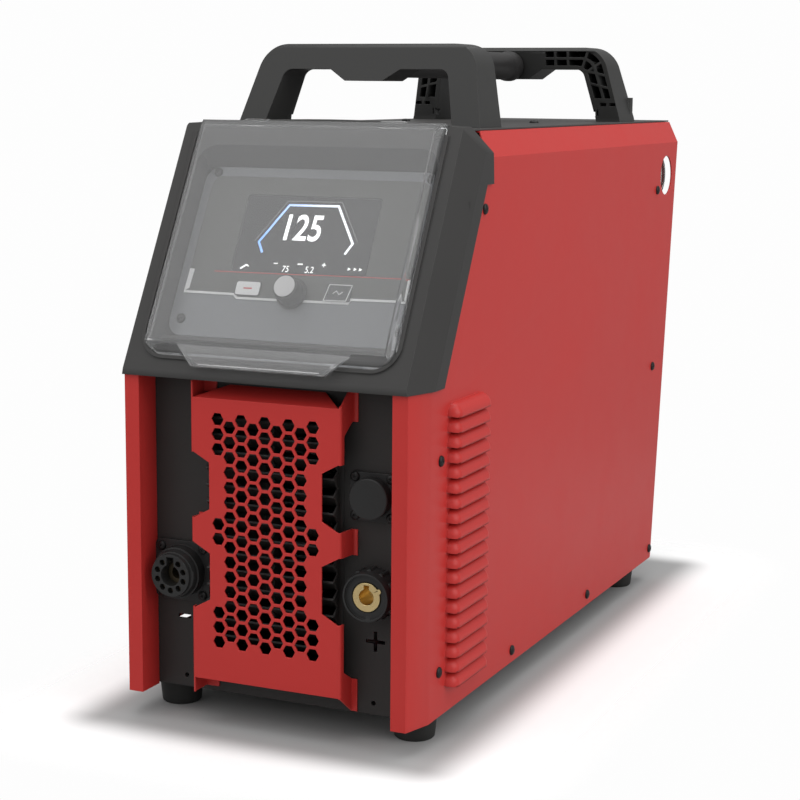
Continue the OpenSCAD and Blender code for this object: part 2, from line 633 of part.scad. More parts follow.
module front_bezel() color("#403f3e") difference() {
  union() {
    difference() { bezel_outer(); bezel_hollow(); }
    tray();
    seat_ridge();
    both() {
      translate([126, on_slope(bezel_screw_z, -flank_depth + 4), bezel_screw_z - 8]) cube([15, 10, 16]);
      translate([126, on_slope(bezel_screw_z, -flank_depth + 4), bezel_screw_z - 8])
        cube([inner_half - 126 - 0.3, 44, 16]);
      intersection() {
        bezel_outer();
        slope() across(hinge_x - 19, hinge_x + 19) translate([hinge_v - 7, hinge_w - 5]) square([13, 12]);
      }
    }
  }
  slope() {
    translate([0, 0, -seat_depth]) linear_extrude(40)
      translate([0, (seat_low + 300) / 2]) soft_rect(2 * seat_half, 300 - seat_low, seat_r);
    intersection() {
      across(-seat_half + pocket_step, seat_half - pocket_step) polygon([[pocket_low, -seat_depth], [plate_low, -plate_depth],
        [plate_low, -plate_depth - plate_t - 0.1], [plate_low + plate_h, -plate_depth - plate_t - 0.1],
        [plate_low + plate_h, -plate_depth], [pocket_high, -seat_depth], [pocket_high, 0], [pocket_low, 0]]);
      translate([0, 0, -60]) linear_extrude(80) translate([0, (pocket_low + pocket_high) / 2])
        soft_rect(2 * (seat_half - pocket_step), pocket_high - pocket_low, seat_r - pocket_step);
    }
    translate([0, 0, -60]) linear_extrude(50) translate([0, plate_mid]) difference() {
      soft_rect(plate_w - 16, plate_h - 16, 8);
      for (x = [-1, 1], y = [-1, 1]) translate([x * plate_screw_x / 2, y * plate_screw_y / 2 + 5]) circle(r = 8, $fn = 32);
    }
    for (x = [-1, 1], v = [60, 198.5]) translate([x * plate_screw_x / 2, v, -60])
      cylinder(r = hole_r, h = 60, $fn = 32);
    both() {
      translate([hinge_x - 11.6, hinge_v, hinge_w]) rotate([0, 90, 0]) cylinder(r = 5.7, h = 23.2, $fn = 48);
      translate([hinge_x - 17, hinge_v, hinge_w]) rotate([0, 90, 0])
        cylinder(r = hinge_pin_r + 0.05, h = 34, $fn = 32);
    }
  }
  both() rod_x(hole_r, 120, half_w, bezel_screw_y, bezel_screw_z);
}
module hinge_pins() color("#c9c9c6") slope() both()
  translate([hinge_x - 16.5, hinge_v, hinge_w]) rotate([0, 90, 0]) cylinder(r = hinge_pin_r, h = 33, $fn = 32);

standoffs = [for (x = [-97, 97], v = [78, 128, 180]) [x, v]];
board_w = -plate_depth - plate_t - 13;
module key_shape(s) {
  if (s < 0) soft_rect(24, 13.5, 2.5);
  else polygon([[-8.6, -7.4], [12.2, -7.4], [12.2, 0], [8.6, 7.4], [-12.2, 7.4], [-12.2, 0]]);
}
module key_room(s, g) {
  if (s < 0) soft_rect(24 + 2 * g, 13.5 + 2 * g, 2.5);
  else polygon([[-8.8 - g, -7.4 - g], [12.2 + g, -7.4 - g], [12.2 + g, 0], [8.8 + g, 7.4 + g],
    [-12.2 - g, 7.4 + g], [-12.2 - g, 0]]);
}
module plate_openings(g) {
  translate([0, lcd_v]) soft_rect(lcd_w + 2 * g, lcd_h + 2 * g, 3);
  translate([0, key_v - 2.5]) circle(r = 5.2, $fn = 48);
  for (s = [-1, 1]) translate([s * key_x, key_v]) key_room(s, run_gap);
}
module control_plate() color("#4a4a4b") slope() difference() {
  union() {
    translate([0, plate_mid, -plate_depth - plate_t]) linear_extrude(plate_t) soft_rect(plate_w - 0.6, plate_h - 0.6, plate_r);
    for (p = standoffs) translate([p[0], p[1], board_w]) cylinder(r = 3.5, h = 14, $fn = 32);
  }
  translate([0, 0, -plate_depth - 5]) linear_extrude(10) plate_openings(0.2);
  for (x = [-1, 1], v = [60, 198.5]) translate([x * plate_screw_x / 2, v, -40]) cylinder(r = hole_r, h = 40, $fn = 32);
  for (p = standoffs) translate([p[0], p[1], board_w - 1]) cylinder(r = 1.2, h = 9, $fn = 24);
}
module plate_screws() color("#2c2c2c") slope() for (x = [-1, 1], v = [60, 198.5])
  translate([x * plate_screw_x / 2, v, -plate_depth]) dome_screw(4.3, 2.4, shank_r, 5.1);
film_half = 103;
film_top = plate_low + plate_h - 9;
module keypad_overlay() color("#707277") slope() translate([0, 0, -plate_depth + 0.02]) linear_extrude(0.48) difference() {
  soft_poly([[-film_half, 84.6], [-55, 84.6], [-51.5, 81.6], [53.5, 81.6], [57, 84.6], [film_half, 84.6],
    [film_half, film_top], [-film_half, film_top]], [2, 0, 0, 0, 0, 2, 9, 9]);
  plate_openings(0.5);
}
module display_module() color("#15181b") slope() translate([0, lcd_v, 0]) difference() {
  union() {
    translate([0, 0, -plate_depth - plate_t - 8]) linear_extrude(8) soft_rect(lcd_w + 12, lcd_h + 12, 3);
    translate([0, 0, -plate_depth - plate_t - 1]) linear_extrude(plate_t + 1.3) soft_rect(lcd_w, lcd_h, 3);
    for (x = [-60, 60], v = [-32, 32]) translate([x, v, board_w]) cylinder(r = 3, h = 6, $fn = 32);
  }
}
module control_board() color("#1f5a34") slope() {
  difference() {
    translate([-101, 62, board_w - 1.6]) cube([202, 132, 1.6]);
    for (p = standoffs) translate([p[0], p[1], board_w - 3]) cylinder(r = 1.7, h = 6, $fn = 24);
  }
  for (s = [-1, 1]) translate([s * key_x - 3, key_v - 3, board_w]) cube([6, 6, 3.4]);
  for (i = [0:4]) translate([-80 + i * 36, 150, board_w - 9]) cube([i % 2 == 0 ? 22 : 12, 14, 7.4]);
  for (i = [0:5]) translate([-88 + i * 12, 74, board_w - 14]) cube([9, 8, 12.4]);
}
module encoder_body() color("#8f9294") slope() translate([0, key_v - 2.5, 0]) difference() {
  union() {
    translate([-6.2, -6.6, board_w]) cube([12.4, 13.2, 6.8]);
    translate([0, 0, board_w]) cylinder(r = 4.6, h = -board_w + knob_base - 0.9, $fn = 48);
  }
  translate([0, 0, board_w + 2]) cylinder(r = 3.05, h = 40, $fn = 48);
}
module control_knob() color("#232323") slope() translate([0, key_v - 2.5, 0]) difference() {
  union() {
    translate([0, 0, knob_base]) rotate_extrude($fn = 96) polygon([[0, 0], [knob_r + 2.3, 0],
      [knob_r + 2.3, 1.4], [knob_r + 1.7, 2.2], [knob_r + 0.3, 2.6], [knob_r, 3.4],
      [knob_r - 0.5, knob_h - 1.6], [knob_r - 1.3, knob_h - 0.6], [knob_r - 1.6, knob_h - 0.6],
      [knob_r - 1.8, knob_h], [0, knob_h]]);
    translate([0, 0, board_w + 3]) cylinder(r = 3, h = -board_w + knob_base - 2, $fn = 48);
  }
  translate([-0.6, knob_r - 4.4, knob_base + knob_h - 0.6]) cube([1.2, 2.2, 2]);
}
module key_button(s) slope() translate([s * key_x, key_v, 0]) {
  translate([0, 0, -plate_depth - plate_t - 1.3]) linear_extrude(plate_t + 2.7) key_shape(s);
  translate([0, 0, -plate_depth - plate_t - 1.6]) linear_extrude(1.3) offset(delta = 0.9) key_shape(s);
  translate([0, 0, board_w + 4.1]) cylinder(r = 2, h = -board_w - 4.1 - plate_depth - plate_t - 1, $fn = 32);
}
module mode_key() color("#5d6065") key_button(-1);
module purge_key() color("#5d6065") key_button(1);

// ---------- clear cover ----------
module cover_form(d, low) intersection() {
  across(-160, 160) polygon([[seat_low + 0.6 + d, low], [seat_low + 10 + d * 0.9, cover_face - d],
    [hinge_v - 11 - d * 0.4, cover_face - d], [hinge_v - 2.4 - d, 2 - d * 0.6], [hinge_v - 2.4 - d, low]]);
  translate([0, 300, 0]) rotate([90, 0, 0]) linear_extrude(400)
    polygon([[-cover_half - 1.6 + d, low], [cover_half + 1.6 - d, low], [cover_half + 1.2 - d, 0],
      [cover_half - 3.4 - d, cover_face - d], [-cover_half + 3.4 + d, cover_face - d], [-cover_half - 1.2 + d, 0]]);
  translate([0, 0, -20]) linear_extrude(60) translate([0, (seat_low + 0.6 + 300) / 2])
    soft_rect(2 * cover_half + 3.2 - 2 * d, 300 - seat_low - 0.6 - 2 * d, seat_r - 1 - d);
}
module clear_cover() color("#dfe8ea", 0.35) slope() difference() {
  union() {
    difference() { cover_form(0, -seat_depth + 0.6); cover_form(cover_t, -seat_depth - 2); }
    translate([0, 0, cover_lift]) linear_extrude(cover_t)
      soft_poly([[-62, tab_low], [62, tab_low], [84, cover_low], [-84, cover_low]], [4, 4, 0, 0]);
    translate([-56, tab_low + 1.2, cover_lift - 3]) cube([112, 1.8, 3.5]);
    both() {
      across(hinge_x - 11, hinge_x + 11) polygon([[hinge_v - 5, 3.4], [hinge_v - 2.6, 1.4], [hinge_v + 2.4, hinge_w + 2.4],
        [hinge_v, hinge_w - 3.4], [hinge_v - 3, hinge_w - 1.6], [hinge_v - 4.6, -seat_depth + 0.6]]);
      translate([hinge_x - 11, hinge_v, hinge_w]) rotate([0, 90, 0]) cylinder(r = 3.4, h = 22, $fn = 48);
    }
  }
  both() translate([hinge_x - 20, hinge_v, hinge_w]) rotate([0, 90, 0])
    cylinder(r = hinge_pin_r + 0.05, h = 40, $fn = 32);
}

// ---------- sockets ----------
torch_flange = 3.4;
remote_flange = 3.2;
module torch_socket() color("#262626") difference() {
  union() {
    translate([-socket_x, 0, torch_z]) prism_y(panel_setback - torch_flange, panel_setback) soft_rect(53, 53, 6);
    rod_y(torch_r + 1.5, 13.5, 25, -socket_x, torch_z);
    cone_y(torch_r - 1.2, torch_r + 0.4, 7.6, 14, -socket_x, torch_z);
    cone_y(torch_r - 2.6, torch_r - 2, 3.5, 8, -socket_x, torch_z);
    rod_y(torch_r - 0.3, 24, 62, -socket_x, torch_z);
  }
  rod_y(torch_bore_r, 2, 64, -socket_x, torch_z);
  for (i = [1:9]) translate([-socket_x, 0, torch_z]) rotate([0, i * 36, 0]) rod_y(2.7, 2, 64, 0, 13.2);
  translate([-socket_x - 3.6, 2, torch_z + 6]) cube([7.2, 12, 10]);
  for (i = [0:3]) if (i < 4) rod_y(hole_r - 0.5, panel_setback - 8, panel_back + 1, socket_screw_places[i][0], socket_screw_places[i][1]);
}
module torch_contacts() color("#d9b45a") {
  for (i = [1:9]) translate([-socket_x, 0, torch_z]) rotate([0, i * 36, 0]) difference() {
    rod_y(2.4, 9, 66, 0, 13.2);
    rod_y(1.4, 8, 24, 0, 13.2);
  }
  difference() {
    rod_y(torch_bore_r - 0.2, 16, 66, -socket_x, torch_z);
    rod_y(5.5, 15, 40, -socket_x, torch_z);
  }
}
module work_socket() color("#242424") difference() {
  union() {
    rod_y(work_r, 12.5, panel_setback, socket_x, socket_z);
    cone_y(work_r - 1, work_r, 6.5, 12.5, socket_x, socket_z);
    rod_y(13.8, 20, 31.4, socket_x, socket_z);
    for (i = [0:11]) translate([socket_x, 0, socket_z]) rotate([0, i * 30, 0]) rod_y(2.2, 14, panel_setback, 0, work_r - 0.9);
  }
  rod_y(work_r - 2.4, 5, 9.6, socket_x, socket_z);
  rod_y(insert_r + 1.1, 5, 11.2, socket_x, socket_z);
  translate([socket_x, 0, socket_z]) rotate([0, 62, 0]) rod_y(2.5, 5, 10.7, 0, insert_r + 0.3);
  rod_y(insert_r + 0.1, 4, 40, socket_x, socket_z);
}
module work_insert() color("#e3c077") difference() {
  union() {
    rod_y(insert_r, 9, 34, socket_x, socket_z);
    rod_y(6, 33, 52, socket_x, socket_z);
    translate([socket_x, 0, socket_z]) rotate([0, 62, 0]) rod_y(2.1, 9, 10.2, 0, insert_r + 0.3);
  }
  rod_y(work_bore_r, 8, 30, socket_x, socket_z);
  translate([socket_x - 2.4, 8, socket_z]) cube([4.8, 16, work_bore_r + 3.4]);
}
module work_nut() color("#c8a65c") {
  work_hex();
  work_washer();
}
module work_washer() difference() {
  rod_y(11.5, 34, 36, socket_x, socket_z);
  rod_y(6.05, 33, 46, socket_x, socket_z);
}
module work_hex() difference() {
  translate([socket_x, 36, socket_z]) rotate([-90, 0, 0]) cylinder(r = 11, h = 7, $fn = 6);
  rod_y(6.05, 33, 46, socket_x, socket_z);
}
remote_x = socket_x - 1.5;
module remote_socket() color("#2a2a2a") {
  difference() {
    union() {
      translate([remote_x, 0, remote_z]) prism_y(panel_setback - remote_flange, panel_setback) soft_rect(41, 41, 5);
      rod_y(14.2, 17, 25, remote_x, remote_z);
      rod_y(13.2, 25, 48, remote_x, remote_z);
    }
    rod_y(11.8, 16, 40, remote_x, remote_z);
    for (p = [for (x = [-1, 1], z = [-1, 1]) [x * 16.3, z * 16.3]]) rod_y(hole_r - 0.5, panel_setback - 8, panel_back + 1, remote_x + p[0], remote_z + p[1]);
  }
  rod_y(11.9, 26, 47, remote_x, remote_z);
  for (i = [0:8]) translate([remote_x, 0, remote_z]) rotate([0, i * 40, 0]) rod_y(1, 19, 27, 0, 8);
  rod_y(1, 19, 27, remote_x, remote_z);
}
module remote_cap() color("#1d1d1d") difference() {
  union() {
    rod_y(cap_r, 15, panel_setback - 3.5, remote_x, remote_z);
    cone_y(cap_r - 1, cap_r, 14, 15.01, remote_x, remote_z);
  }
  rod_y(14.25, 16.4, 30, remote_x, remote_z);
}
module socket_screws() color("#242322") for (i = [0:7]) {
  y = panel_setback - (i < 4 ? torch_flange : remote_flange);
  translate([socket_screw_places[i][0], y, socket_screw_places[i][1]]) rotate([90, 0, 0])
    dome_screw(4.2, 2.5, 1.6, 7);
}

// ---------- carrying handle ----------
arch_top = arch_half - arch_h * tan(arch_taper);
gap_h = arch_h - beam_h;
gap_taper = arch_taper + 1.5;
gap_top = arch_gap_half - gap_h * tan(gap_taper);
grip_z = roof_z + arch_h - 15.5;
$drop = 0;
module arch_outline(d, r) soft_poly([[-arch_half + d, -$drop], [arch_half - d, -$drop], [arch_top - d, arch_h - d],
  [-arch_top + d, arch_h - d]], [0, 0, r, r]);
module gap_outline(d, r) soft_poly([[-arch_gap_half - d, -1 - $drop], [arch_gap_half + d, -1 - $drop], [gap_top + d, gap_h + d],
  [-gap_top - d, gap_h + d]], [0, 0, r, r]);
function arch_front(z, d) = arch_y + z * tan(arch_lean) + d;
function arch_back(z) = arch_y + arch_t + z * tan(arch_back_lean);
module rib(x, z, a, l) translate([x, z]) rotate(a) translate([-1.2, -l / 2]) square([2.4, l]);
module arch_pockets() difference() {
  arch_outline(4, 22);
  gap_outline(4, 13);
  difference() {
    arch_outline(beam_h / 2 - 1.3, 16);
    arch_outline(beam_h / 2 + 1.3, 14);
  }
  translate([-39, gap_h - 12]) square([78, beam_h + 20]);
  translate([-130, -2]) square([260, 22]);
  both() {
    for (x = [50, 64]) rib(x, arch_h - 12, 0, 40);
    rib(gap_top - 1, gap_h, -22, 70);
    rib(gap_top + 2, gap_h - 4, -58, 70);
    for (z = [33, 46]) rib((arch_half + arch_gap_half) / 2 - z * 0.24, z, 90 - arch_taper, 40);
  }
}
module arch() translate([0, 0, roof_z + $drop]) difference() {
  union() {
    intersection() {
      prism_y(arch_y - 20, arch_y + 120) difference() {
        union() {
          arch_outline(0, 26);
          polygon([[-36, gap_h + 1], [-18.3, gap_h - 10.3], [18.3, gap_h - 10.3], [36, gap_h + 1]]);
        }
        difference() {
          gap_outline(0, 9);
          polygon([[-36, gap_h + 1], [-18.3, gap_h - 10.3], [18.3, gap_h - 10.3], [36, gap_h + 1]]);
        }
      }
      prism_x(-130, 130) soft_poly([[arch_y, -$drop], [arch_y + arch_t, -$drop], [arch_y + arch_t, 0],
        [arch_back(arch_h), arch_h], [arch_front(arch_h, 0), arch_h], [arch_y, 0]], [0, 0, 0, 5, 5, 0]);
    }
  }
  intersection() {
    prism_y(arch_y - 20, arch_y + 120) arch_pockets();
    prism_x(-130, 130) polygon([[arch_front(0, 5), 0], [arch_y + 150, 0], [arch_y + 150, arch_h + 9],
      [arch_front(arch_h + 9, 5), arch_h + 9]]);
  }
  both() {
    for (y = [15, 39]) translate([arch_bolt_x, arch_y + y, -1 - $drop]) cylinder(r = 2.6, h = 16 + $drop, $fn = 32);
    for (x = [97, 107]) translate([x, arch_y + arch_t - 6, 12]) cube([7, 20, 3.5]);
    for (z = [0:2]) translate([arch_gap_half - 6 + z * 3.4, arch_y + arch_t - 8, 1.5]) cube([1.6, 20, 7]);
  }
  rod_y(grip_r + 0.2, arch_back(grip_z - roof_z) - 9, arch_back(grip_z - roof_z) + 40, 0, grip_z - roof_z - $drop);
}
module rear_turn() translate([0, 2 * handle_mid, 0]) mirror([0, 1, 0]) children();
module arch_bolts(r) for (t = [0, 1]) both() for (y = [15, 39])
  translate([arch_bolt_x, t == 0 ? arch_y + y : 2 * handle_mid - arch_y - y, roof_z - 6])
    cylinder(r = r, h = 12, $fn = 32);
module arch_front_piece() color("#333231") arch();
module arch_rear_piece() color("#333231") {
  rear_turn() arch($drop = rear_lift);
  both() translate([112, 2 * handle_mid - arch_y - 13, roof_z]) cube([5, 9.5, 25]);
}
module grip_tube() color("#2b2a29") {
  a = arch_back(grip_z - roof_z) - 8.5;
  b = 2 * handle_mid - a;
  difference() {
    union() {
      rod_y(grip_r, a, b, 0, grip_z);
      for (s = [0, 1]) translate([0, s * 2 * handle_mid, 0]) mirror([0, s, 0]) {
        rod_y(grip_r + 1.6, a + 12, a + 20, 0, grip_z);
        cone_y(grip_r + 1.6, grip_r, a + 20, a + 32, 0, grip_z);
      }
    }
    rod_y(grip_r - 3, a - 1, b + 1, 0, grip_z);
  }
}
module handle_screws() color("#a9aaab") for (t = [0, 1]) both() for (y = [15, 39])
  translate([arch_bolt_x, t == 0 ? arch_y + y : 2 * handle_mid - arch_y - y, roof_z - sheet])
    mirror([0, 0, 1]) dome_screw(4.5, 3, 2.5, 13);

// ---------- rear ----------
module fan_places() for (x = [-1, 1], z = [-1, 1])
  translate([x * fan_size * 0.4375, 0, fan_z + z * fan_size * 0.4375]) children();
module rear_panel() color("#3b3a39") difference() {
  union() {
    prism_y(rear_panel_y, rear_panel_y + sheet) polygon([[-panel_half + 2, sheet], [panel_half - 2, sheet],
      [panel_half - 2, flange_h + 1], [panel_half, flange_h + 3], [panel_half, side_h - 1.5], [panel_half - 11.5, roof_z - 2 * sheet - 2 * sheet_gap],
      [-panel_half + 11.5, roof_z - 2 * sheet - 2 * sheet_gap], [-panel_half, side_h - 1.5],
      [-panel_half, flange_h + 3], [-panel_half + 2, flange_h + 1]]);
    both() translate([panel_half - sheet, rear_panel_y - 13, flange_h + 3]) cube([sheet, 13.5, side_h - flange_h - 8]);
  }
  rod_y(fan_size / 2 - 3, rear_panel_y - 1, rear_panel_y + 5, 0, fan_z);
  fan_places() rod_y(hole_r, rear_panel_y - 1, rear_panel_y + 5, 0, 0);
  both() for (p = side_screw_places) if (p[0] > 600) rod_x(hole_r, panel_half - 5, panel_half + 1, p[0], p[1]);
  rod_y(20, rear_panel_y - 1, rear_panel_y + 5, switch_x, switch_z);
  rod_y(16.2, rear_panel_y - 1, rear_panel_y + 5, gland_x, gland_z);
  rod_y(4.1, rear_panel_y - 1, rear_panel_y + 5, -gland_x, 40);
  rod_y(7.2, rear_panel_y - 1, rear_panel_y + 5, reg_x, gauge_z);
}
module fan_frame() color("#262626") difference() {
  union() {
    difference() {
      translate([0, 0, fan_z]) prism_y(fan_front, rear_panel_y) soft_rect(fan_size, fan_size, 6);
      rod_y(fan_size / 2 - 2.5, fan_front - 1, rear_panel_y + 1, 0, fan_z);
    }
    rod_y(21, rear_panel_y - 5, rear_panel_y - 0.5, 0, fan_z);
    for (a = [45:90:315]) translate([0, rear_panel_y - 4, fan_z]) rotate([0, a, 0])
      translate([18, 0, -2]) cube([fan_size / 2 - 20, 3, 4]);
  }
  fan_places() rod_y(hole_r - 0.15, fan_front - 1, rear_panel_y + 1, 0, 0);
  rod_y(2.05, fan_front, rear_panel_y + 1, 0, fan_z);
}
module fan_rotor() color("#1c1c1c") translate([0, 0, fan_z]) {
  rod_y(20, fan_front + 3, rear_panel_y - 6, 0, 0);
  rod_y(2, rear_panel_y - 8, rear_panel_y - 1, 0, 0);
  for (i = [0:6]) rotate([0, i * 360 / 7, 0]) translate([17, (fan_front + rear_panel_y) / 2 - 2, 0])
    rotate([40, 0, 0]) translate([0, -1, -14]) cube([fan_size / 2 - 22, 2, 28]);
}
module fan_guard() color("#9b9d9e") {
  for (r = [12:9:57]) translate([0, rear_panel_y + 3.6, fan_z]) rotate([-90, 0, 0])
    rotate_extrude($fn = 96) translate([r, 0]) circle(r = 1.1, $fn = 24);
  for (a = [45:90:315]) translate([0, 0, fan_z]) rotate([0, a, 0])
    rod_x(1.3, 11, fan_size * 0.4375 * sqrt(2) - 4.2, rear_panel_y + 3.2, 0);
  fan_places() difference() {
    rod_y(5, rear_panel_y + sheet, rear_panel_y + 4.2, 0, 0);
    rod_y(2.3, rear_panel_y, rear_panel_y + 6, 0, 0);
  }
}
module fan_screws() color("#242322") fan_places() translate([0, rear_panel_y + 4.2, 0]) rotate([-90, 0, 0]) dome_screw(4, 2.6, 2, 16);
module main_switch() color("#2a2a2a") difference() {
  union() {
    translate([switch_x, 0, switch_z]) prism_y(rear_panel_y + sheet, rear_panel_y + 7) soft_rect(58, 58, 7);
    rod_y(19.6, rear_panel_y - 4, rear_panel_y + 4, switch_x, switch_z);
    translate([switch_x, 0, switch_z]) prism_y(rear_panel_y - 42, rear_panel_y - 1) soft_rect(44, 50, 3);
    for (z = [-14, 0, 14]) translate([switch_x - 26, rear_panel_y - 40, switch_z + z - 4]) cube([52, 10, 8]);
  }
  rod_y(5.05, rear_panel_y - 20, rear_panel_y + 9, switch_x, switch_z);
}
module switch_handle() color("#b3261f") {
  rod_y(5, rear_panel_y - 19, rear_panel_y + 9, switch_x, switch_z);
  rod_y(22, rear_panel_y + 7.3, rear_panel_y + 12, switch_x, switch_z);
  translate([switch_x, 0, switch_z]) prism_y(rear_panel_y + 11.9, rear_panel_y + 25) soft_rect(11, 42, 4);
}
module cable_gland() color("#1f1f1f") difference() {
  union() {
    translate([gland_x, rear_panel_y + sheet, gland_z]) rotate([-90, 0, 0]) cylinder(r = 21, h = 6, $fn = 6);
    rod_y(16, rear_panel_y - 12, rear_panel_y + 8, gland_x, gland_z);
    rod_y(17.5, rear_panel_y + 7, rear_panel_y + 18, gland_x, gland_z);
    cone_y(20, 12.5, rear_panel_y + 17.9, rear_panel_y + 27, gland_x, gland_z);
    for (i = [0:11]) translate([gland_x, 0, gland_z]) rotate([0, i * 30, 0]) rod_y(1.6, rear_panel_y + 8, rear_panel_y + 18, 0, 17.4);
  }
  rod_y(9, rear_panel_y - 20, rear_panel_y + 30, gland_x, gland_z);
}
module gland_nut() color("#1f1f1f") difference() {
  translate([gland_x, rear_panel_y - 7, gland_z]) rotate([-90, 0, 0]) cylinder(r = 21, h = 6.8, $fn = 6);
  rod_y(16.1, rear_panel_y - 20, rear_panel_y + 30, gland_x, gland_z);
}
module earth_stud() color("#c9b06a") {
  rod_y(4, rear_panel_y - 12, rear_panel_y + 20, -gland_x, 40);
  for (y = [rear_panel_y - 6.7, rear_panel_y + sheet + 0.2, rear_panel_y + sheet + 8.5])
    translate([-gland_x, y, 40]) rotate([-90, 0, 0]) cylinder(r = 7.5, h = 6.4, $fn = 6);
  rod_y(9, rear_panel_y + sheet, rear_panel_y + sheet + 1.4, -gland_x, 40);
}
module regulator_body() color("#3a3c3e") difference() {
  union() {
    translate([reg_x, gauge_y, gauge_z - 23]) linear_extrude(46) soft_rect(44, 44, 5);
    translate([reg_x - 12, rear_panel_y + sheet, gauge_z - 14]) cube([24, gauge_y - rear_panel_y - 18, 28]);
    translate([reg_x, gauge_y, gauge_z + 22]) cylinder(r = 15, h = 4, $fn = 64);
    rod_y(6.5, rear_panel_y - 4, rear_panel_y + 6, reg_x, gauge_z);
  }
  rod_y(3.5, rear_panel_y - 6, gauge_y - 10, reg_x, gauge_z);
  rod_x(4, reg_x - 23, reg_x - 8, gauge_y, gauge_z);
  translate([reg_x, gauge_y, gauge_z + 10]) cylinder(r = 4.05, h = 30, $fn = 48);
}
module regulator_knob() color("#1e1e1e") translate([reg_x, gauge_y, gauge_z + 26.3]) difference() {
  union() {
    cylinder(r = 17, h = 20, $fn = 64);
    translate([0, 0, 19.9]) cylinder(r1 = 15, r2 = 14, h = 2.1, $fn = 64);
    translate([0, 0, -14]) cylinder(r = 4, h = 15, $fn = 48);
  }
  for (i = [0:19]) rotate(i * 18) translate([18.2, 0, 3]) cylinder(r = 1.9, h = 30, $fn = 24);
}
module filter_bowl() color("#cfd6d8", 0.5) translate([reg_x, gauge_y, gauge_z - 23]) mirror([0, 0, 1]) difference() {
  union() {
    cylinder(r = 20, h = 12, $fn = 64);
    translate([0, 0, 12]) cylinder(r1 = 19, r2 = 17.5, h = 44, $fn = 64);
    translate([0, 0, 56]) cylinder(r1 = 17.5, r2 = 9, h = 7, $fn = 64);
    translate([0, 0, 60]) cylinder(r = 5, h = 11, $fn = 48);
  }
  translate([0, 0, 2]) cylinder(r = 14.5, h = 50, $fn = 64);
}
elbow_x = reg_x - 38;
elbow_half = 6.8;
module air_inlet() color("#c7b27a") difference() {
  union() {
    translate([reg_x - 22 - 9, gauge_y, gauge_z]) rotate([0, 90, 0]) cylinder(r = 10, h = 9, $fn = 6);
    rod_x(6.2, elbow_x + elbow_half - 1, reg_x - 30, gauge_y, gauge_z);
    translate([elbow_x, gauge_y, gauge_z - elbow_half]) linear_extrude(2 * elbow_half)
      polygon([[-elbow_half + 4, -elbow_half], [elbow_half, -elbow_half], [elbow_half, elbow_half],
        [-elbow_half, elbow_half], [-elbow_half, -elbow_half + 4]]);
    rod_y(6.6, gauge_y + elbow_half - 1, gauge_y + 13, elbow_x, gauge_z);
    rod_y(5, gauge_y + 12, gauge_y + 28, elbow_x, gauge_z);
  }
  rod_y(3.4, gauge_y - 4, gauge_y + 30, elbow_x, gauge_z);
  rod_x(2.8, elbow_x, reg_x - 20, gauge_y, gauge_z);
}
gauge_face = half_w - gauge_inset;
module gauge_case() color("#202020") difference() {
  union() {
    rod_x(gauge_r, gauge_face - 23, gauge_face, gauge_y, gauge_z);
    rod_x(6, reg_x + 22, gauge_face - 22, gauge_y, gauge_z);
  }
  rod_x(gauge_r - 1.3, gauge_face - 5, gauge_face + 1, gauge_y, gauge_z);
  rod_x(1.05, gauge_face - 12, gauge_face, gauge_y, gauge_z);
}
module gauge_dial() color("#f2f2ee") difference() {
  rod_x(gauge_r - 1.5, gauge_face - 5, gauge_face - 4.4, gauge_y, gauge_z);
  rod_x(1.4, gauge_face - 6, gauge_face, gauge_y, gauge_z);
}
module gauge_needle() color("#1a1a1a") {
  rod_x(1, gauge_face - 9, gauge_face - 2.4, gauge_y, gauge_z);
  rod_x(2.2, gauge_face - 3.4, gauge_face - 2.4, gauge_y, gauge_z);
  translate([gauge_face - 3.2, gauge_y, gauge_z]) rotate([45, 0, 0]) prism_x(0, 0.5)
    polygon([[-1, -5], [1, -5], [0.3, gauge_r - 6], [-0.3, gauge_r - 6]]);
}
module gauge_lens() color("#e8eef0", 0.3) rod_x(gauge_r - 1.5, gauge_face - 1.6, gauge_face - 0.2, gauge_y, gauge_z);

// ---------- inside ----------
valve_y = rear_panel_y - 41;
module solenoid_valve() color("#b6a26a") difference() {
  union() {
    translate([reg_x - 16, valve_y, gauge_z - 14]) cube([32, 36.5, 28]);
    rod_y(9, valve_y - 3, valve_y + 5, reg_x, gauge_z);
    translate([reg_x, valve_y + 18, gauge_z + 14]) cylinder(r = 12, h = 26, $fn = 48);
    translate([reg_x - 14, valve_y + 6, gauge_z + 17]) cube([28, 24, 20]);
  }
  rod_y(3.5, valve_y - 6, valve_y + 50, reg_x, gauge_z);
}
hose_z = 330;
module air_hose() color("#2f4f8f") hose([[reg_x, valve_y - 3.3, gauge_z], [reg_x, 560, gauge_z], [reg_x, 560, hose_z],
  [reg_x, 300, hose_z], [-socket_x, 300, hose_z], [-socket_x, 92, hose_z], [-socket_x, 92, torch_z],
  [-socket_x, 66.3, torch_z]], 6, 22);
module air_tunnel() color("#8b8d8e") difference() {
  prism_y(panel_back + 32, fan_front - 0.3) {
    band([[tunnel_half + 14, sheet], [tunnel_half, sheet], [tunnel_half, tunnel_top], [-tunnel_half, tunnel_top],
      [-tunnel_half, sheet], [-tunnel_half - 14, sheet]], -sheet);
  }
}
module heat_sink() translate([tunnel_half - 8, 130, 60]) {
  cube([8, 260, 180]);
  for (i = [0:14]) translate([-42, 0, 4 + i * 12]) cube([42.1, 260, 2.4]);
}
module heat_sinks() color("#a7a9ab") both() heat_sink();
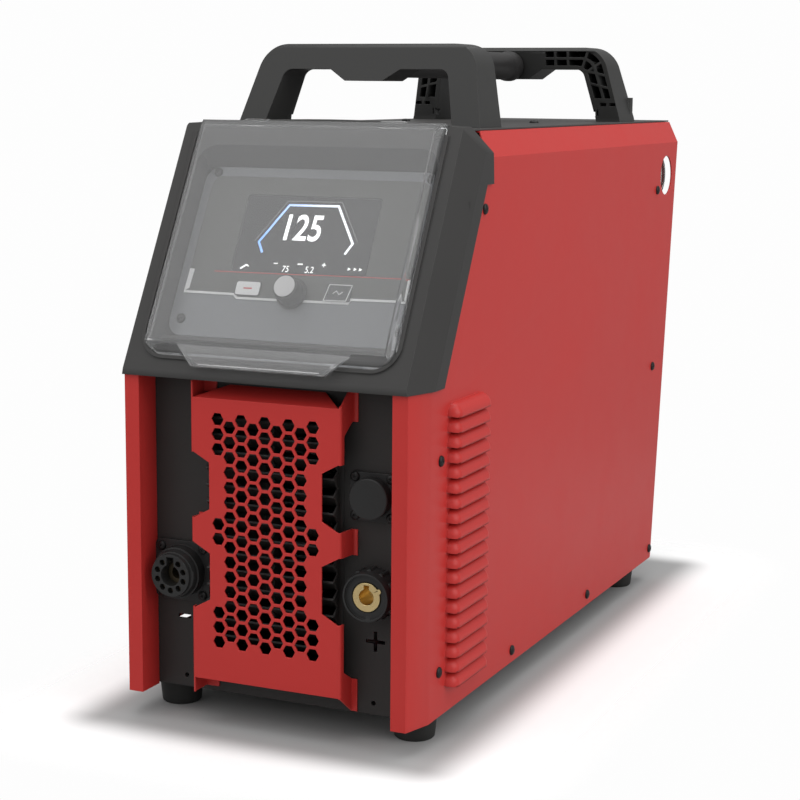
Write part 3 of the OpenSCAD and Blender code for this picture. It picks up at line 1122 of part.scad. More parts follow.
module transformer() color("#4a4038") {
  windings();
  translate([-50, 440, sheet]) cube([100, 64, 6]);
  difference() {
    translate([-48, 446, sheet + 5.9]) cube([96, 52, 112]);
    for (s = [-1, 1]) translate([s * 24 - 12, 440, sheet + 28]) cube([24, 70, 66]);
  }
  translate([0, 472, sheet + 62]) rotate([90, 0, 0]) cylinder(r = 12, h = 74, center = true, $fn = 48);
}
module windings() translate([0, 472, sheet + 29]) difference() {
  linear_extrude(64) soft_rect(42, 72, 8);
  translate([0, 0, -1]) linear_extrude(66) soft_rect(24.4, 52.4, 1);
}
module main_board() color("#20603a") {
  for (y = [130, 320, 510], z = [60, 236]) rod_x(3, tunnel_half + sheet, tunnel_half + 8.5, y, z);
  translate([tunnel_half + 8, 110, 44]) cube([1.6, 420, 208]);
  for (i = [0:5]) rod_x(15, tunnel_half + 9.5, tunnel_half + 54, 150 + i * 36, 90);
  for (i = [0:3]) translate([tunnel_half + 9.5, 380 + i * 34, 60]) cube([26, 24, 60]);
  for (i = [0:4]) translate([tunnel_half + 9.5, 150 + i * 52, 170]) cube([30, 30, 36]);
  translate([tunnel_half + 9.5, 430, 160]) cube([40, 44, 50]);
}

// ---------- the assembly ----------
placed() base_plate();
placed() rubber_feet();
placed() foot_screws();
placed() side_panel_right();
placed() side_panel_left();
placed() side_screws();
placed() top_cover();
placed() roof_rail();
placed() top_screws();
placed() front_panel();
placed() outlet_louvres();
placed() front_guard();
placed() front_bezel();
placed() control_plate();
placed() plate_screws();
placed() keypad_overlay();
placed() display_module();
placed() control_board();
placed() encoder_body();
placed() control_knob();
placed() mode_key();
placed() purge_key();
placed() clear_cover();
placed() hinge_pins();
placed() torch_socket();
placed() torch_contacts();
placed() work_socket();
placed() work_insert();
placed() work_nut();
placed() remote_socket();
placed() remote_cap();
placed() socket_screws();
placed() arch_front_piece();
placed() arch_rear_piece();
placed() grip_tube();
placed() handle_screws();
placed() rear_panel();
placed() fan_frame();
placed() fan_rotor();
placed() fan_guard();
placed() fan_screws();
placed() main_switch();
placed() switch_handle();
placed() cable_gland();
placed() gland_nut();
placed() earth_stud();
placed() regulator_body();
placed() regulator_knob();
placed() filter_bowl();
placed() air_inlet();
placed() gauge_case();
placed() gauge_dial();
placed() gauge_needle();
placed() gauge_lens();
placed() air_hose();
placed() solenoid_valve();
placed() air_tunnel();
placed() heat_sinks();
placed() transformer();
placed() main_board();
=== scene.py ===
import json
import math
import bpy
import bmesh
from mathutils import Matrix, Vector


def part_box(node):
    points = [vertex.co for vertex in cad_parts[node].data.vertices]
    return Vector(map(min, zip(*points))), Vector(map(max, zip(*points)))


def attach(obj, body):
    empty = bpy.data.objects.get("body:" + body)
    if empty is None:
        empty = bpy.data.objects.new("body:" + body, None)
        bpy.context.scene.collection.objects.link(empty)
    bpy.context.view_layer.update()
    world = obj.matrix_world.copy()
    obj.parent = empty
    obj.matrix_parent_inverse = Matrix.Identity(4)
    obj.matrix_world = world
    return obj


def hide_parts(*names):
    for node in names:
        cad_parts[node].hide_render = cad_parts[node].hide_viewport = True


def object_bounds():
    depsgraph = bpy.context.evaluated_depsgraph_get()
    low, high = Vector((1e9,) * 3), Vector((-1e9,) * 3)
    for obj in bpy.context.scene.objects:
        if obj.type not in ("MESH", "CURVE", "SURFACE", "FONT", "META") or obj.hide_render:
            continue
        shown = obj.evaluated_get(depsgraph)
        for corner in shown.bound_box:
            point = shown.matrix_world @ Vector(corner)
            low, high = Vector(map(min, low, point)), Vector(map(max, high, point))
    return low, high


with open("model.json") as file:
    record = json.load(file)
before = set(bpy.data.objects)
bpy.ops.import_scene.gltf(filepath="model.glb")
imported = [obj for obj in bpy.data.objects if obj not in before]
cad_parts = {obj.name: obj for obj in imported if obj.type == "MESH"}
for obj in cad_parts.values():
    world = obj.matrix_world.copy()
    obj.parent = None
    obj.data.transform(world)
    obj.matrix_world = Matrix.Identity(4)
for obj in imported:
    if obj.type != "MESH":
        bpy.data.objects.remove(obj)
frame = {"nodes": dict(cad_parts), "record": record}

CAD_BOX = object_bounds()
NODES = frame["nodes"]

bl_info = {
    "name": "Plasma cutter unit",
    "version": (1, 0, 0),
    "blender": (4, 5, 0),
    "location": "3D View > Sidebar > Cutter",
    "description": "Finishes a plasma cutter unit round its packed frame",
    "category": "Object",
}

MM = 0.001
# The working frame of the case: x from the middle, y back from the post faces, z up from the
# bottom edge of the side panels. Both shifts come from the frame's own nodes.
PANEL_SETBACK = 27.5
SHIFT_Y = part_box("front_panel")[0].y / MM - PANEL_SETBACK
SHIFT_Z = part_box("rubber_feet")[1].z / MM
SLOPE = math.radians(28.77)
SLOPE_START = Vector((0, -5.13, 281))
UP_SLOPE = Vector((0, math.sin(SLOPE), math.cos(SLOPE)))
OUT_SLOPE = Vector((0, -math.cos(SLOPE), math.sin(SLOPE)))


def place(x, y, z):
    """A point of the case's working frame, in millimetres, as a point of the row frame."""
    return Vector((x * MM, (y + SHIFT_Y) * MM, (z + SHIFT_Z) * MM))


def face_points(node):
    """A node's points as (u, v, w) on the sloping control face, in millimetres."""
    out = []
    for vertex in NODES[node].data.vertices:
        p = vertex.co / MM - Vector((0, SHIFT_Y, SHIFT_Z)) - SLOPE_START
        out.append((p.x, p.dot(UP_SLOPE), p.dot(OUT_SLOPE)))
    return out


def face_top(node):
    return max(w for _, _, w in face_points(node))


def face_span(node, k):
    values = [p[k] for p in face_points(node)]
    return min(values), max(values)


def on_face(u, v, w):
    """A point of the sloping control face: u across, v up the slope, w outwards, in millimetres."""
    p = SLOPE_START + v * UP_SLOPE + w * OUT_SLOPE
    return place(u, p.y, p.z)


FILM_FACE = face_top("keypad_overlay")

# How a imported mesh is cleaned: points nearer than this, in metres, are one point, and faces that
# meet within this angle are one face. Edges over the soft angle, in degrees, stay crisp.
MERGE = 4e-6
FLAT_ANGLE = math.radians(0.4)
SOFT_ANGLE = 35.0
SCREW_SOFT_ANGLE = 32.0

# Print and lit marks of the control face: heights and widths in millimetres, points as (u, v).
PRINT_HEIGHT = 0.06
KEY_PRINT_LIFT = 0.06
KEY_FACE_SINK = 0.2
KEY_FACE_HEIGHT = 0.26
KEY_FACE_MARGIN = 3.2
KEY_FACE_CORNER = 2.2
FIGURE_LIFT = 0.05
FIGURE_DEPTH = 0.03
FIGURE_SLANT = 0.05
THIN_LINE = 0.9
SCALE_LINE = 2.0
SCALE = [(-37.8, 124.4), (-43.4, 134.1), (-22.2, 169.1), (24.4, 169.6), (45.3, 135.7),
         (40.1, 125.7)]
# The echo repeats the scale's upper part, stretched about its centre and lifted.
ECHO_CENTRE_V = 134
ECHO_STRETCH_U, ECHO_STRETCH_V, ECHO_LIFT = 1.10, 1.09, 0.6
STEP_RULE = [(-103.9, 84.8), (-54.9, 84.7), (-51.2, 81.5), (-15, 81.6), (15.6, 82),
             (53.3, 81.9), (55.4, 85.3), (95, 86), (103.9, 86.2)]
STEP_LINE = 2.2
RED_RULE = [(-79, 105.0), (102, 106.3)]
RED_LINE = 0.8
WEDGE = [(103.4, 106.5), (98.6, 106.1), (99.4, 88.1), (103.9, 85.2)]
# Each figure: its name, text, size, lower left corner, narrowing and boldness.
FIGURES = (("amps_lit", "125", 33.5, (-26.0, 137.0), 0.80, 0.55),
           ("minor_left_lit", "75", 8.2, (-15.4, 107.5), 0.85, 0.02),
           ("minor_right_lit", "5.2", 8.2, (6.4, 107.5), 0.85, 0.02))
# Each small sign beside them, and each line of the torch sign: its ends and its width.
SIGNS = (((-24.3, 114.9), (-20.3, 114.9), 0.9), ((21.4, 115.1), (25.4, 115.1), 0.9),
         ((23.4, 113.1), (23.4, 117.1), 0.9), ((-1.6, 115.1), (3.4, 115.1), 1.1))
TORCH_SIGN = (((-55, 108.5), (-49.5, 112.5), 1.6), ((-49.5, 112.5), (-47.4, 110.8), 1.0))
ARROW = ((-1.4, 111.1), (1.6, 112.6), (-1.4, 114.1))
ARROW_PLACES = (47.5, 53, 58)
# On the keys, from the middle of each: half the bar, its width, and the corners of the wave.
BAR_HALF = 4
BAR_LINE = 1.3
WAVE = ((-4.5, -1), (-1.5, 1.6), (1.5, -1.6), (4.5, 1))
RING_INSET = 1.2
RING_SKEW = 3.0
# The knob's disc: how deep its top points reach, its margin, its height and its step in degrees.
KNOB_TOP_BAND = 0.3
KNOB_DISC_MARGIN = 0.4
KNOB_DISC_HEIGHT = 0.12
KNOB_DISC_STEP = 8

# A screw head of radius 1: its outline as (radius, height), and how many sides it has.
HEAD_PROFILE = ((0.0, -1.3), (0.42, -1.3), (0.42, 0.0), (1.0, 0.0), (1.0, 0.16), (0.93, 0.31),
                (0.76, 0.43), (0.50, 0.51), (0.0, 0.54))
HEAD_SIDES = 24
# The blades that cut its cross: their size and middle height, and how they narrow lower down.
BLADE_SIZE = (1.05, 0.17, 0.62)
BLADE_MIDDLE = 0.55
BLADE_FOOT = 0.4
BLADE_TAPER = 0.55
FULL_SPIN = 6.28
# A packed screw: points this near its lowest, in metres, are its tail, and points over this
# share of its greatest radius belong to its head.
TAIL_BAND = 2e-4
HEAD_SHARE = 0.93

# What every coat shares: spread of its roughness, mirror level, depth of its bump in metres, and
# how much paler its colour is at its edges, partly wear and partly a painted highlight.
GLOSS_SPREAD = 0.10
SPECULAR = 0.3
BUMP_DISTANCE = 0.0002
EDGE_SHEEN_AND_WEAR_GAIN = 1.5
EDGE_SHEEN_AND_WEAR_LIFT = 0.035
# What every clear piece shares: spread of its roughness, refraction, and how much light it lets
# through to its shadow.
CLEAR_SPREAD = (0.6, 1.6)
CLEAR_IOR = 1.5
CLEAR_SHADOW = 0.9

# The stage: half the floor's side, and distances in metres. The floor fades out for other rays
# with the distance from its middle. For the camera it fades near the object's footprint, and right
# beside it has a painted shadow: within its reach the floor takes the darker grey and loses its
# glow.
# Other rays always see the darker grey, so the floor's bounce is darker too.
FLOOR_HALF = 4
FLOOR_FADE = (0.55, 1.5)
FLOOR_NEAR = 0.14
FLOOR_PAINTED_SHADOW_REACH = 0.05
FLOOR_SHADOW_AND_BOUNCE_GREY, FLOOR_PALE, FLOOR_GLOW = 0.40, 0.92, 0.16
# How strong the background is for each kind of ray, where that differs from the ambient light.
RAY_LEVELS = (("Is Camera Ray", 0.985), ("Is Glossy Ray", 0.32), ("Is Transmission Ray", 0.28))
# Each lamp: its name, place, size and share of the key light's power.
LAMPS = (("key", (-1.2, -2.13, 2.44), 4.0, 1.0), ("overhead", (0.3, 0.3, 3.0), 3.2, 1.1),
         ("side", (3.0, -0.4, 1.7), 2.6, 0.88))
LAMP_AIM = Vector((0, 0, 0.25))
# The camera: azimuth, elevation and roll in degrees, its place, and its sensor in millimetres.
CAMERA_ANGLES = (24.153, 9.417, 0.450)
CAMERA_PLACE = (0.72929, -1.703895, 0.54358)
SENSOR = 36


# ---------------------------------------------------------------- sizes and colours


class CUTTER_PG_finish(bpy.types.PropertyGroup):
    """Colours and edge sizes of the case"""

    red: bpy.props.FloatVectorProperty(
        name="Case red", description="Powder coat of panels and guard", subtype="COLOR", size=3,
        default=(0.53, 0.034, 0.030), min=0, max=1)
    black: bpy.props.FloatVectorProperty(
        name="Panel black", description="Textured coat of front, floor and rear", subtype="COLOR",
        size=3, default=(0.030, 0.028, 0.027), min=0, max=1)
    plastic: bpy.props.FloatVectorProperty(
        name="Moulding black", description="Bezel and handle mouldings", subtype="COLOR", size=3,
        default=(0.040, 0.039, 0.038), min=0, max=1)
    edge: bpy.props.FloatProperty(
        name="Edge rounding", description="Rounding of moulded edges", default=0.0008,
        min=0.0, max=0.003, subtype="DISTANCE", unit="LENGTH")
    sheet_edge: bpy.props.FloatProperty(
        name="Fold rounding", description="Rounding of folded sheet edges", default=0.0007,
        min=0.0, max=0.002, subtype="DISTANCE", unit="LENGTH")


class CUTTER_PG_face(bpy.types.PropertyGroup):
    """Colours of the control face"""

    film: bpy.props.FloatVectorProperty(
        name="Film grey", description="Printed film round the display", subtype="COLOR", size=3,
        default=(0.105, 0.105, 0.098), min=0, max=1)
    plate: bpy.props.FloatVectorProperty(
        name="Plate silver", description="Bare border of the control plate", subtype="COLOR",
        size=3, default=(0.20, 0.205, 0.215), min=0, max=1)
    glow: bpy.props.FloatProperty(
        name="Display glow", description="Light of the lit figures", default=0.9, min=0.0, max=3.0)


class CUTTER_PG_stage(bpy.types.PropertyGroup):
    """Camera and light"""

    lens: bpy.props.FloatProperty(
        name="Lens", description="Focal length on a 36 mm sensor", default=84.96, min=20, max=200)
    key: bpy.props.FloatProperty(
        name="Key light", description="Power of the large front light", default=46.0, min=0,
        max=500, unit="POWER")
    ambient: bpy.props.FloatProperty(
        name="Ambient", description="Strength of the even surrounding light", default=0.55,
        min=0, max=2)


# ---------------------------------------------------------------- node groups and materials


def new_group(name, inputs, outputs):
    """An empty shader group with named float, vector or colour sockets."""
    group = bpy.data.node_groups.new(name, "ShaderNodeTree")
    for label, kind, value in inputs:
        socket = group.interface.new_socket(label, in_out="INPUT", socket_type=kind)
        if value is not None:
            socket.default_value = value
    for label, kind in outputs:
        group.interface.new_socket(label, in_out="OUTPUT", socket_type=kind)
    return group, group.nodes.new("NodeGroupInput"), group.nodes.new("NodeGroupOutput")


def feed(tree, value, socket):
    """Links an output to a socket, or sets the socket to a plain value."""
    if isinstance(value, bpy.types.NodeSocket):
        tree.links.new(value, socket)
    else:
        socket.default_value = value


def math_node(tree, kind, a, b, clamp=False):
    node = tree.nodes.new("ShaderNodeMath")
    node.operation = kind
    node.use_clamp = clamp
    feed(tree, a, node.inputs[0])
    feed(tree, b, node.inputs[1])
    return node.outputs[0]


def vector_node(tree, kind, a, b=None):
    """A vector sum; its length and dot product are values."""
    node = tree.nodes.new("ShaderNodeVectorMath")
    node.operation = kind
    feed(tree, a, node.inputs[0])
    if b is not None:
        feed(tree, b, node.inputs[1])
    return node.outputs["Value" if kind in ("LENGTH", "DOT_PRODUCT") else "Vector"]


def ramp(tree, value, start=0.0, end=1.0, low=0.0, high=1.0, smooth=False):
    """The value's span from start to end laid on the span from low to high."""
    node = tree.nodes.new("ShaderNodeMapRange")
    if smooth:
        node.interpolation_type = "SMOOTHSTEP"
    for key, number in (("From Min", start), ("From Max", end), ("To Min", low), ("To Max", high)):
        node.inputs[key].default_value = number
    tree.links.new(value, node.inputs["Value"])
    return node.outputs["Result"]


def colour_mix(tree, a, b, factor):
    """A blend from colour a to colour b, each three numbers or an output."""
    node = tree.nodes.new("ShaderNodeMix")
    node.data_type = "RGBA"
    for key, value in (("A", a), ("B", b)):
        linked_in = isinstance(value, bpy.types.NodeSocket)
        feed(tree, value if linked_in else (*value, 1), node.inputs[key])
    tree.links.new(factor, node.inputs["Factor"])
    return node.outputs["Result"]


def object_place(tree):
    return tree.nodes.new("ShaderNodeTexCoord").outputs["Object"]


def new_material(name):
    """An empty material, its tree and its Principled shader."""
    mat = bpy.data.materials.new(name)
    mat.use_nodes = True
    return mat, mat.node_tree, mat.node_tree.nodes["Principled BSDF"]


def grain_group():
    """Height of a fine surface grain, at two scales."""
    group, gin, gout = new_group(
        "fine grain",
        [("Vector", "NodeSocketVector", None), ("Scale", "NodeSocketFloat", 900.0),
         ("Coarse", "NodeSocketFloat", 0.35), ("Coarse Scale", "NodeSocketFloat", 0.22)],
        [("Height", "NodeSocketFloat")])
    fine = group.nodes.new("ShaderNodeTexNoise")
    fine.inputs["Detail"].default_value = 2.0
    coarse = group.nodes.new("ShaderNodeTexNoise")
    coarse.inputs["Detail"].default_value = 1.0
    for noise in (fine, coarse):
        group.links.new(gin.outputs["Vector"], noise.inputs["Vector"])
    group.links.new(gin.outputs["Scale"], fine.inputs["Scale"])
    group.links.new(math_node(group, "MULTIPLY", gin.outputs["Scale"], gin.outputs["Coarse Scale"]),
                    coarse.inputs["Scale"])
    low = math_node(group, "MULTIPLY", coarse.outputs["Fac"], gin.outputs["Coarse"])
    group.links.new(math_node(group, "ADD", fine.outputs["Fac"], low), gout.inputs["Height"])
    return group


def handling_group():
    """Broad, faint unevenness: handling marks and dust, as a mask about 0.5."""
    group, gin, gout = new_group(
        "handling marks",
        [("Vector", "NodeSocketVector", None), ("Scale", "NodeSocketFloat", 9.0),
         ("Amount", "NodeSocketFloat", 0.5)],
        [("Mask", "NodeSocketFloat")])
    cloud = group.nodes.new("ShaderNodeTexNoise")
    cloud.inputs["Detail"].default_value = 5.0
    cloud.inputs["Roughness"].default_value = 0.62
    group.links.new(gin.outputs["Vector"], cloud.inputs["Vector"])
    group.links.new(gin.outputs["Scale"], cloud.inputs["Scale"])
    shifted = math_node(group, "SUBTRACT", cloud.outputs["Fac"], 0.5)
    scaled = math_node(group, "MULTIPLY", shifted, gin.outputs["Amount"])
    group.links.new(math_node(group, "ADD", scaled, 0.5, clamp=True), gout.inputs["Mask"])
    return group


def edge_group():
    """A normal rounded at the edges, and a mask that is 1 on them."""
    group, gin, gout = new_group(
        "rounded edge",
        [("Radius", "NodeSocketFloat", 0.0007), ("Reach", "NodeSocketFloat", 0.10)],
        [("Normal", "NodeSocketVector"), ("Mask", "NodeSocketFloat")])
    bevel = group.nodes.new("ShaderNodeBevel")
    bevel.samples = 6
    group.links.new(gin.outputs["Radius"], bevel.inputs["Radius"])
    plain = group.nodes.new("ShaderNodeNewGeometry").outputs["Normal"]
    dot = vector_node(group, "DOT_PRODUCT", bevel.outputs["Normal"], plain)
    bent = math_node(group, "SUBTRACT", 1.0, dot)
    group.links.new(math_node(group, "DIVIDE", bent, gin.outputs["Reach"], clamp=True),
                    gout.inputs["Mask"])
    group.links.new(bevel.outputs["Normal"], gout.inputs["Normal"])
    return group


GROUPS = {}


def shared(name):
    """The one shader group of that name, built on first use."""
    makers = {"fine grain": grain_group, "handling marks": handling_group,
              "rounded edge": edge_group}
    if name not in GROUPS:
        GROUPS[name] = makers[name]()
    return GROUPS[name]


def use_group(tree, name, **values):
    node = tree.nodes.new("ShaderNodeGroup")
    node.node_tree = shared(name)
    for key, value in values.items():
        node.inputs[key].default_value = value
    return node


def coated(name, colour, rough, grain=900.0, depth=0.12, tint=0.12, marks=9.0, metal=0.0,
           edge=0.0007, sheen_and_wear=0.25):
    """A moulded, painted or bare-metal finish: grain in the bump, marks in colour and gloss, and
    edges paler in colour, partly wear and partly a painted highlight.
    """
    mat, tree, shader = new_material(name)
    where = object_place(tree)
    grains = use_group(tree, "fine grain", Scale=grain)
    hands = use_group(tree, "handling marks", Scale=marks, Amount=1.0)
    for node in (grains, hands):
        tree.links.new(where, node.inputs["Vector"])
    mask = hands.outputs["Mask"]
    blend = colour_mix(tree, [c * (1 - tint) for c in colour],
                       [min(1.0, c * (1 + tint)) for c in colour], mask)
    # Paler colour on convex and hollow edges, patchy with the marks: partly wear, partly a painted
    # highlight.
    edges = use_group(tree, "rounded edge", Radius=edge)
    edge_sheen_and_wear_mask = math_node(tree, "MULTIPLY", edges.outputs["Mask"], mask)
    edge_sheen_and_wear_colour = colour_mix(tree, blend, [min(1.0, c * EDGE_SHEEN_AND_WEAR_GAIN + EDGE_SHEEN_AND_WEAR_LIFT) for c in colour],
                        math_node(tree, "MULTIPLY", edge_sheen_and_wear_mask, sheen_and_wear * 2, clamp=True))
    tree.links.new(edge_sheen_and_wear_colour, shader.inputs["Base Color"])
    gloss = ramp(tree, mask, low=max(0.02, rough - GLOSS_SPREAD),
                 high=min(1.0, rough + GLOSS_SPREAD))
    tree.links.new(gloss, shader.inputs["Roughness"])
    bump = tree.nodes.new("ShaderNodeBump")
    bump.inputs["Strength"].default_value = depth
    bump.inputs["Distance"].default_value = BUMP_DISTANCE
    tree.links.new(edges.outputs["Normal"], bump.inputs["Normal"])
    tree.links.new(grains.outputs["Height"], bump.inputs["Height"])
    tree.links.new(bump.outputs["Normal"], shader.inputs["Normal"])
    shader.inputs["Metallic"].default_value = metal
    shader.inputs["Specular IOR Level"].default_value = SPECULAR
    return mat


def clear(name, colour, rough, gloss_level=0.5, haze=0.0):
    """Clear plastic or glass with a faint unevenness in its gloss and a paler shadow."""
    mat, tree, shader = new_material(name)
    hands = use_group(tree, "handling marks", Scale=7.0, Amount=0.8)
    tree.links.new(object_place(tree), hands.inputs["Vector"])
    gloss = ramp(tree, hands.outputs["Mask"], low=rough * CLEAR_SPREAD[0],
                 high=rough * CLEAR_SPREAD[1])
    tree.links.new(gloss, shader.inputs["Roughness"])
    shader.inputs["Base Color"].default_value = (*colour, 1)
    shader.inputs["Transmission Weight"].default_value = 1.0 - haze
    shader.inputs["IOR"].default_value = CLEAR_IOR
    shader.inputs["Specular IOR Level"].default_value = gloss_level
    path = tree.nodes.new("ShaderNodeLightPath")
    hidden = math_node(tree, "MULTIPLY", path.outputs["Is Shadow Ray"], CLEAR_SHADOW)
    tree.links.new(math_node(tree, "SUBTRACT", 1.0, hidden), shader.inputs["Alpha"])
    return mat


def lit(name, colour, strength, second=None, span=(-0.04, 0.04)):
    """Lit figures of the display; two colours run across x where a second is given."""
    mat, tree, shader = new_material(name)
    shader.inputs["Base Color"].default_value = (*colour, 1)
    shader.inputs["Roughness"].default_value = 0.4
    shader.inputs["Emission Strength"].default_value = strength
    shader.inputs["Emission Color"].default_value = (*colour, 1)
    if second:
        split = tree.nodes.new("ShaderNodeSeparateXYZ")
        tree.links.new(object_place(tree), split.inputs[0])
        blend = colour_mix(tree, colour, second, ramp(tree, split.outputs["X"], *span))
        for key in ("Base Color", "Emission Color"):
            tree.links.new(blend, shader.inputs[key])
    return mat


MATERIALS = {}


def finish_table():
    """Of each finish: its maker, its colour, its roughness or light, and what else it takes."""
    looks = bpy.context.scene.cutter_finish
    face = bpy.context.scene.cutter_face
    return {
        "case red": (coated, looks.red, 0.35,
            dict(grain=520, depth=0.10, tint=0.04, edge=looks.sheet_edge, sheen_and_wear=0.35)),
        "panel black": (coated, looks.black, 0.50,
            dict(grain=760, depth=0.30, edge=looks.sheet_edge)),
        "roof grey": (coated, (0.060, 0.058, 0.057), 0.46, dict(grain=760, depth=0.25)),
        "moulding black": (coated, looks.plastic, 0.44,
            dict(grain=1200, depth=0.16, marks=6.0, edge=looks.edge, sheen_and_wear=0.4)),
        "handle black": (coated, (0.034, 0.034, 0.033), 0.42,
            dict(grain=1300, depth=0.12, marks=7.0, edge=looks.edge, sheen_and_wear=0.4)),
        "grip rubber": (coated, (0.026, 0.025, 0.025), 0.42, dict(grain=1500, depth=0.15)),
        "foot rubber": (coated, (0.022, 0.022, 0.021), 0.62, dict(grain=900, depth=0.3)),
        "socket black": (coated, (0.024, 0.024, 0.024), 0.36, dict(grain=1500, depth=0.10)),
        "knob black": (coated, (0.035, 0.035, 0.034), 0.36, dict(grain=1500, depth=0.08)),
        "blackened steel": (coated, (0.030, 0.029, 0.029), 0.34,
            dict(grain=1800, depth=0.1, metal=0.6)),
        # The torch contacts' metal is darkened in colour: painted shade of the deep bore they sit
        # in.
        "contact dark": (coated, (0.12, 0.095, 0.06), 0.42,
            dict(grain=1700, depth=0.1, metal=0.7)),
        "knob cap": (coated, (0.66, 0.65, 0.65), 0.32, dict(grain=1700, depth=0.04, tint=0.03)),
        "zinc": (coated, (0.52, 0.52, 0.50), 0.34, dict(grain=1600, depth=0.12, metal=1.0)),
        "guard wire": (coated, (0.58, 0.59, 0.60), 0.25, dict(grain=1600, depth=0.05, metal=1.0)),
        "turned brass": (coated, (0.80, 0.61, 0.30), 0.27,
            dict(grain=1900, depth=0.12, metal=1.0, tint=0.08)),
        "plate silver": (coated, face.plate, 0.38,
            dict(grain=2200, depth=0.12, metal=0.25, tint=0.05)),
        "film grey": (coated, face.film, 0.36, dict(grain=1600, depth=0.02, tint=0.03)),
        "display dark": (coated, (0.045, 0.045, 0.046), 0.22,
            dict(grain=600, depth=0.002, tint=0.03, sheen_and_wear=0)),
        "key grey": (coated, (0.09, 0.09, 0.09), 0.5, dict(grain=1200, depth=0.1)),
        "white print": (coated, (0.86, 0.86, 0.86), 0.35,
            dict(grain=1500, depth=0.04, tint=0.02)),
        "red print": (coated, (0.62, 0.06, 0.06), 0.35, dict(grain=1500, depth=0.04, tint=0.05)),
        "clear cover": (clear, (0.985, 0.99, 0.995), 0.004, dict(gloss_level=0.9, haze=0.05)),
        "bowl clear": (clear, (0.93, 0.96, 0.97), 0.06, {}),
        "gauge glass": (clear, (0.99, 0.99, 0.99), 0.02, {}),
        "dial white": (coated, (0.84, 0.84, 0.82), 0.5, dict(grain=900, depth=0.03, tint=0.03)),
        "board green": (coated, (0.025, 0.13, 0.06), 0.35, dict(grain=700, depth=0.2)),
        "bare aluminium": (coated, (0.56, 0.57, 0.58), 0.38,
            dict(grain=1400, depth=0.2, metal=1.0)),
        "galvanised": (coated, (0.46, 0.47, 0.47), 0.42,
            dict(grain=240, depth=0.15, tint=0.2, metal=1.0, marks=60)),
        "ferrite": (coated, (0.10, 0.085, 0.075), 0.6, dict(grain=500, depth=0.4)),
        "hose blue": (coated, (0.04, 0.10, 0.32), 0.4, dict(grain=900, depth=0.1)),
        "switch red": (coated, (0.45, 0.022, 0.02), 0.28, dict(grain=1300, depth=0.06)),
        "figures": (lit, (0.95, 0.95, 0.95), face.glow, {}),
        "scale glow": (lit, (0.20, 0.42, 0.90), face.glow,
            dict(second=(0.95, 0.97, 1.0), span=(-0.045, 0.030))),
        "dim figures": (lit, (0.16, 0.16, 0.16), face.glow * 0.2, {}),
    }


def finish_of(name):
    """The material of that name, made on first use from its row of the table."""
    if name not in MATERIALS:
        maker, colour, level, more = finish_table()[name]
        MATERIALS[name] = maker(name, colour, level, **more)
    return MATERIALS[name]


# ---------------------------------------------------------------- mesh helpers


def linked(name, data):
    """A new object with that data, in the scene."""
    obj = bpy.data.objects.new(name, data)
    bpy.context.scene.collection.objects.link(obj)
    return obj


def applied(holder):
    """An object's shape with its modifiers, as a plain mesh."""
    bpy.context.view_layer.update()
    graph = bpy.context.evaluated_depsgraph_get()
    return bpy.data.meshes.new_from_object(holder.evaluated_get(graph))


def mesh_from(work, name):
    """Turns a working mesh into a named one and frees it."""
    mesh = bpy.data.meshes.new(name)
    work.to_mesh(mesh)
    work.free()
    return mesh


def merged(node):
    """A working mesh of a node's solids, with its doubles merged."""
    work = bmesh.new()
    work.from_mesh(NODES[node].data)
    bmesh.ops.remove_doubles(work, verts=work.verts, dist=MERGE)
    return work


def bind(name, mesh, body, finish, replaces=()):
    """Links a mesh in the row frame as a named piece of a body."""
    piece = linked(name, mesh)
    mesh.materials.clear()
    mesh.materials.append(finish_of(finish))
    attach(piece, body)
    if replaces:
        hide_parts(*replaces)
    return piece


def body_with(node):
    for body, members in frame["record"]["behaviour"]["bodies"].items():
        if node in members:
            return body
    raise RuntimeError(f"no body holds {node}")


def finished_copy(node, name, finish):
    """The node's solid with its doubles merged, flat faces joined and a finish."""
    work = merged(node)
    bmesh.ops.dissolve_limit(work, angle_limit=FLAT_ANGLE, verts=work.verts, edges=work.edges)
    mesh = mesh_from(work, name)
    soften(mesh, SOFT_ANGLE)
    return bind(name, weighted(mesh), body_with(node), finish, (node,))


def weighted(mesh):
    """The mesh with normals weighted by area, so that a flat face beside a rounding stays flat."""
    holder = linked(mesh.name + "_plain", mesh)
    modifier = holder.modifiers.new("weights", "WEIGHTED_NORMAL")
    modifier.mode = "FACE_AREA"
    modifier.weight = 100
    modifier.keep_sharp = True
    made = applied(holder)
    bpy.data.objects.remove(holder)
    made.name = mesh.name
    return made


def soften(mesh, angle):
    """Smooth shading, with edges over the angle kept crisp."""
    for face in mesh.polygons:
        face.use_smooth = True
    mesh.set_sharp_from_angle(angle=math.radians(angle))


def flat_piece(name, outlines, body, finish, w0, height):
    """Outlines on the control face, in millimetres, each made a thin closed slab."""
    work = bmesh.new()
    for outline in outlines:
        low = [work.verts.new(on_face(u, v, w0)) for u, v in outline]
        top = [work.verts.new(on_face(u, v, w0 + height)) for u, v in outline]
        n = len(outline)
        work.faces.new(top)
        work.faces.new(low[::-1])
        for i in range(n):
            j = (i + 1) % n
            work.faces.new((low[i], low[j], top[j], top[i]))
    bmesh.ops.recalc_face_normals(work, faces=work.faces)
    return bind(name, mesh_from(work, name), body, finish)


def film_piece(name, outlines, finish):
    """Print or lit marks on the film of the control face."""
    return flat_piece(name, outlines, "case", finish, FILM_FACE,
                      PRINT_HEIGHT)


def key_piece(name, outlines, node, finish, lift=KEY_PRINT_LIFT, height=PRINT_HEIGHT):
    """Print on a key or on the knob, which moves with it."""
    return flat_piece(name, outlines, body_with(node), finish,
                      face_top(node) + lift, height)


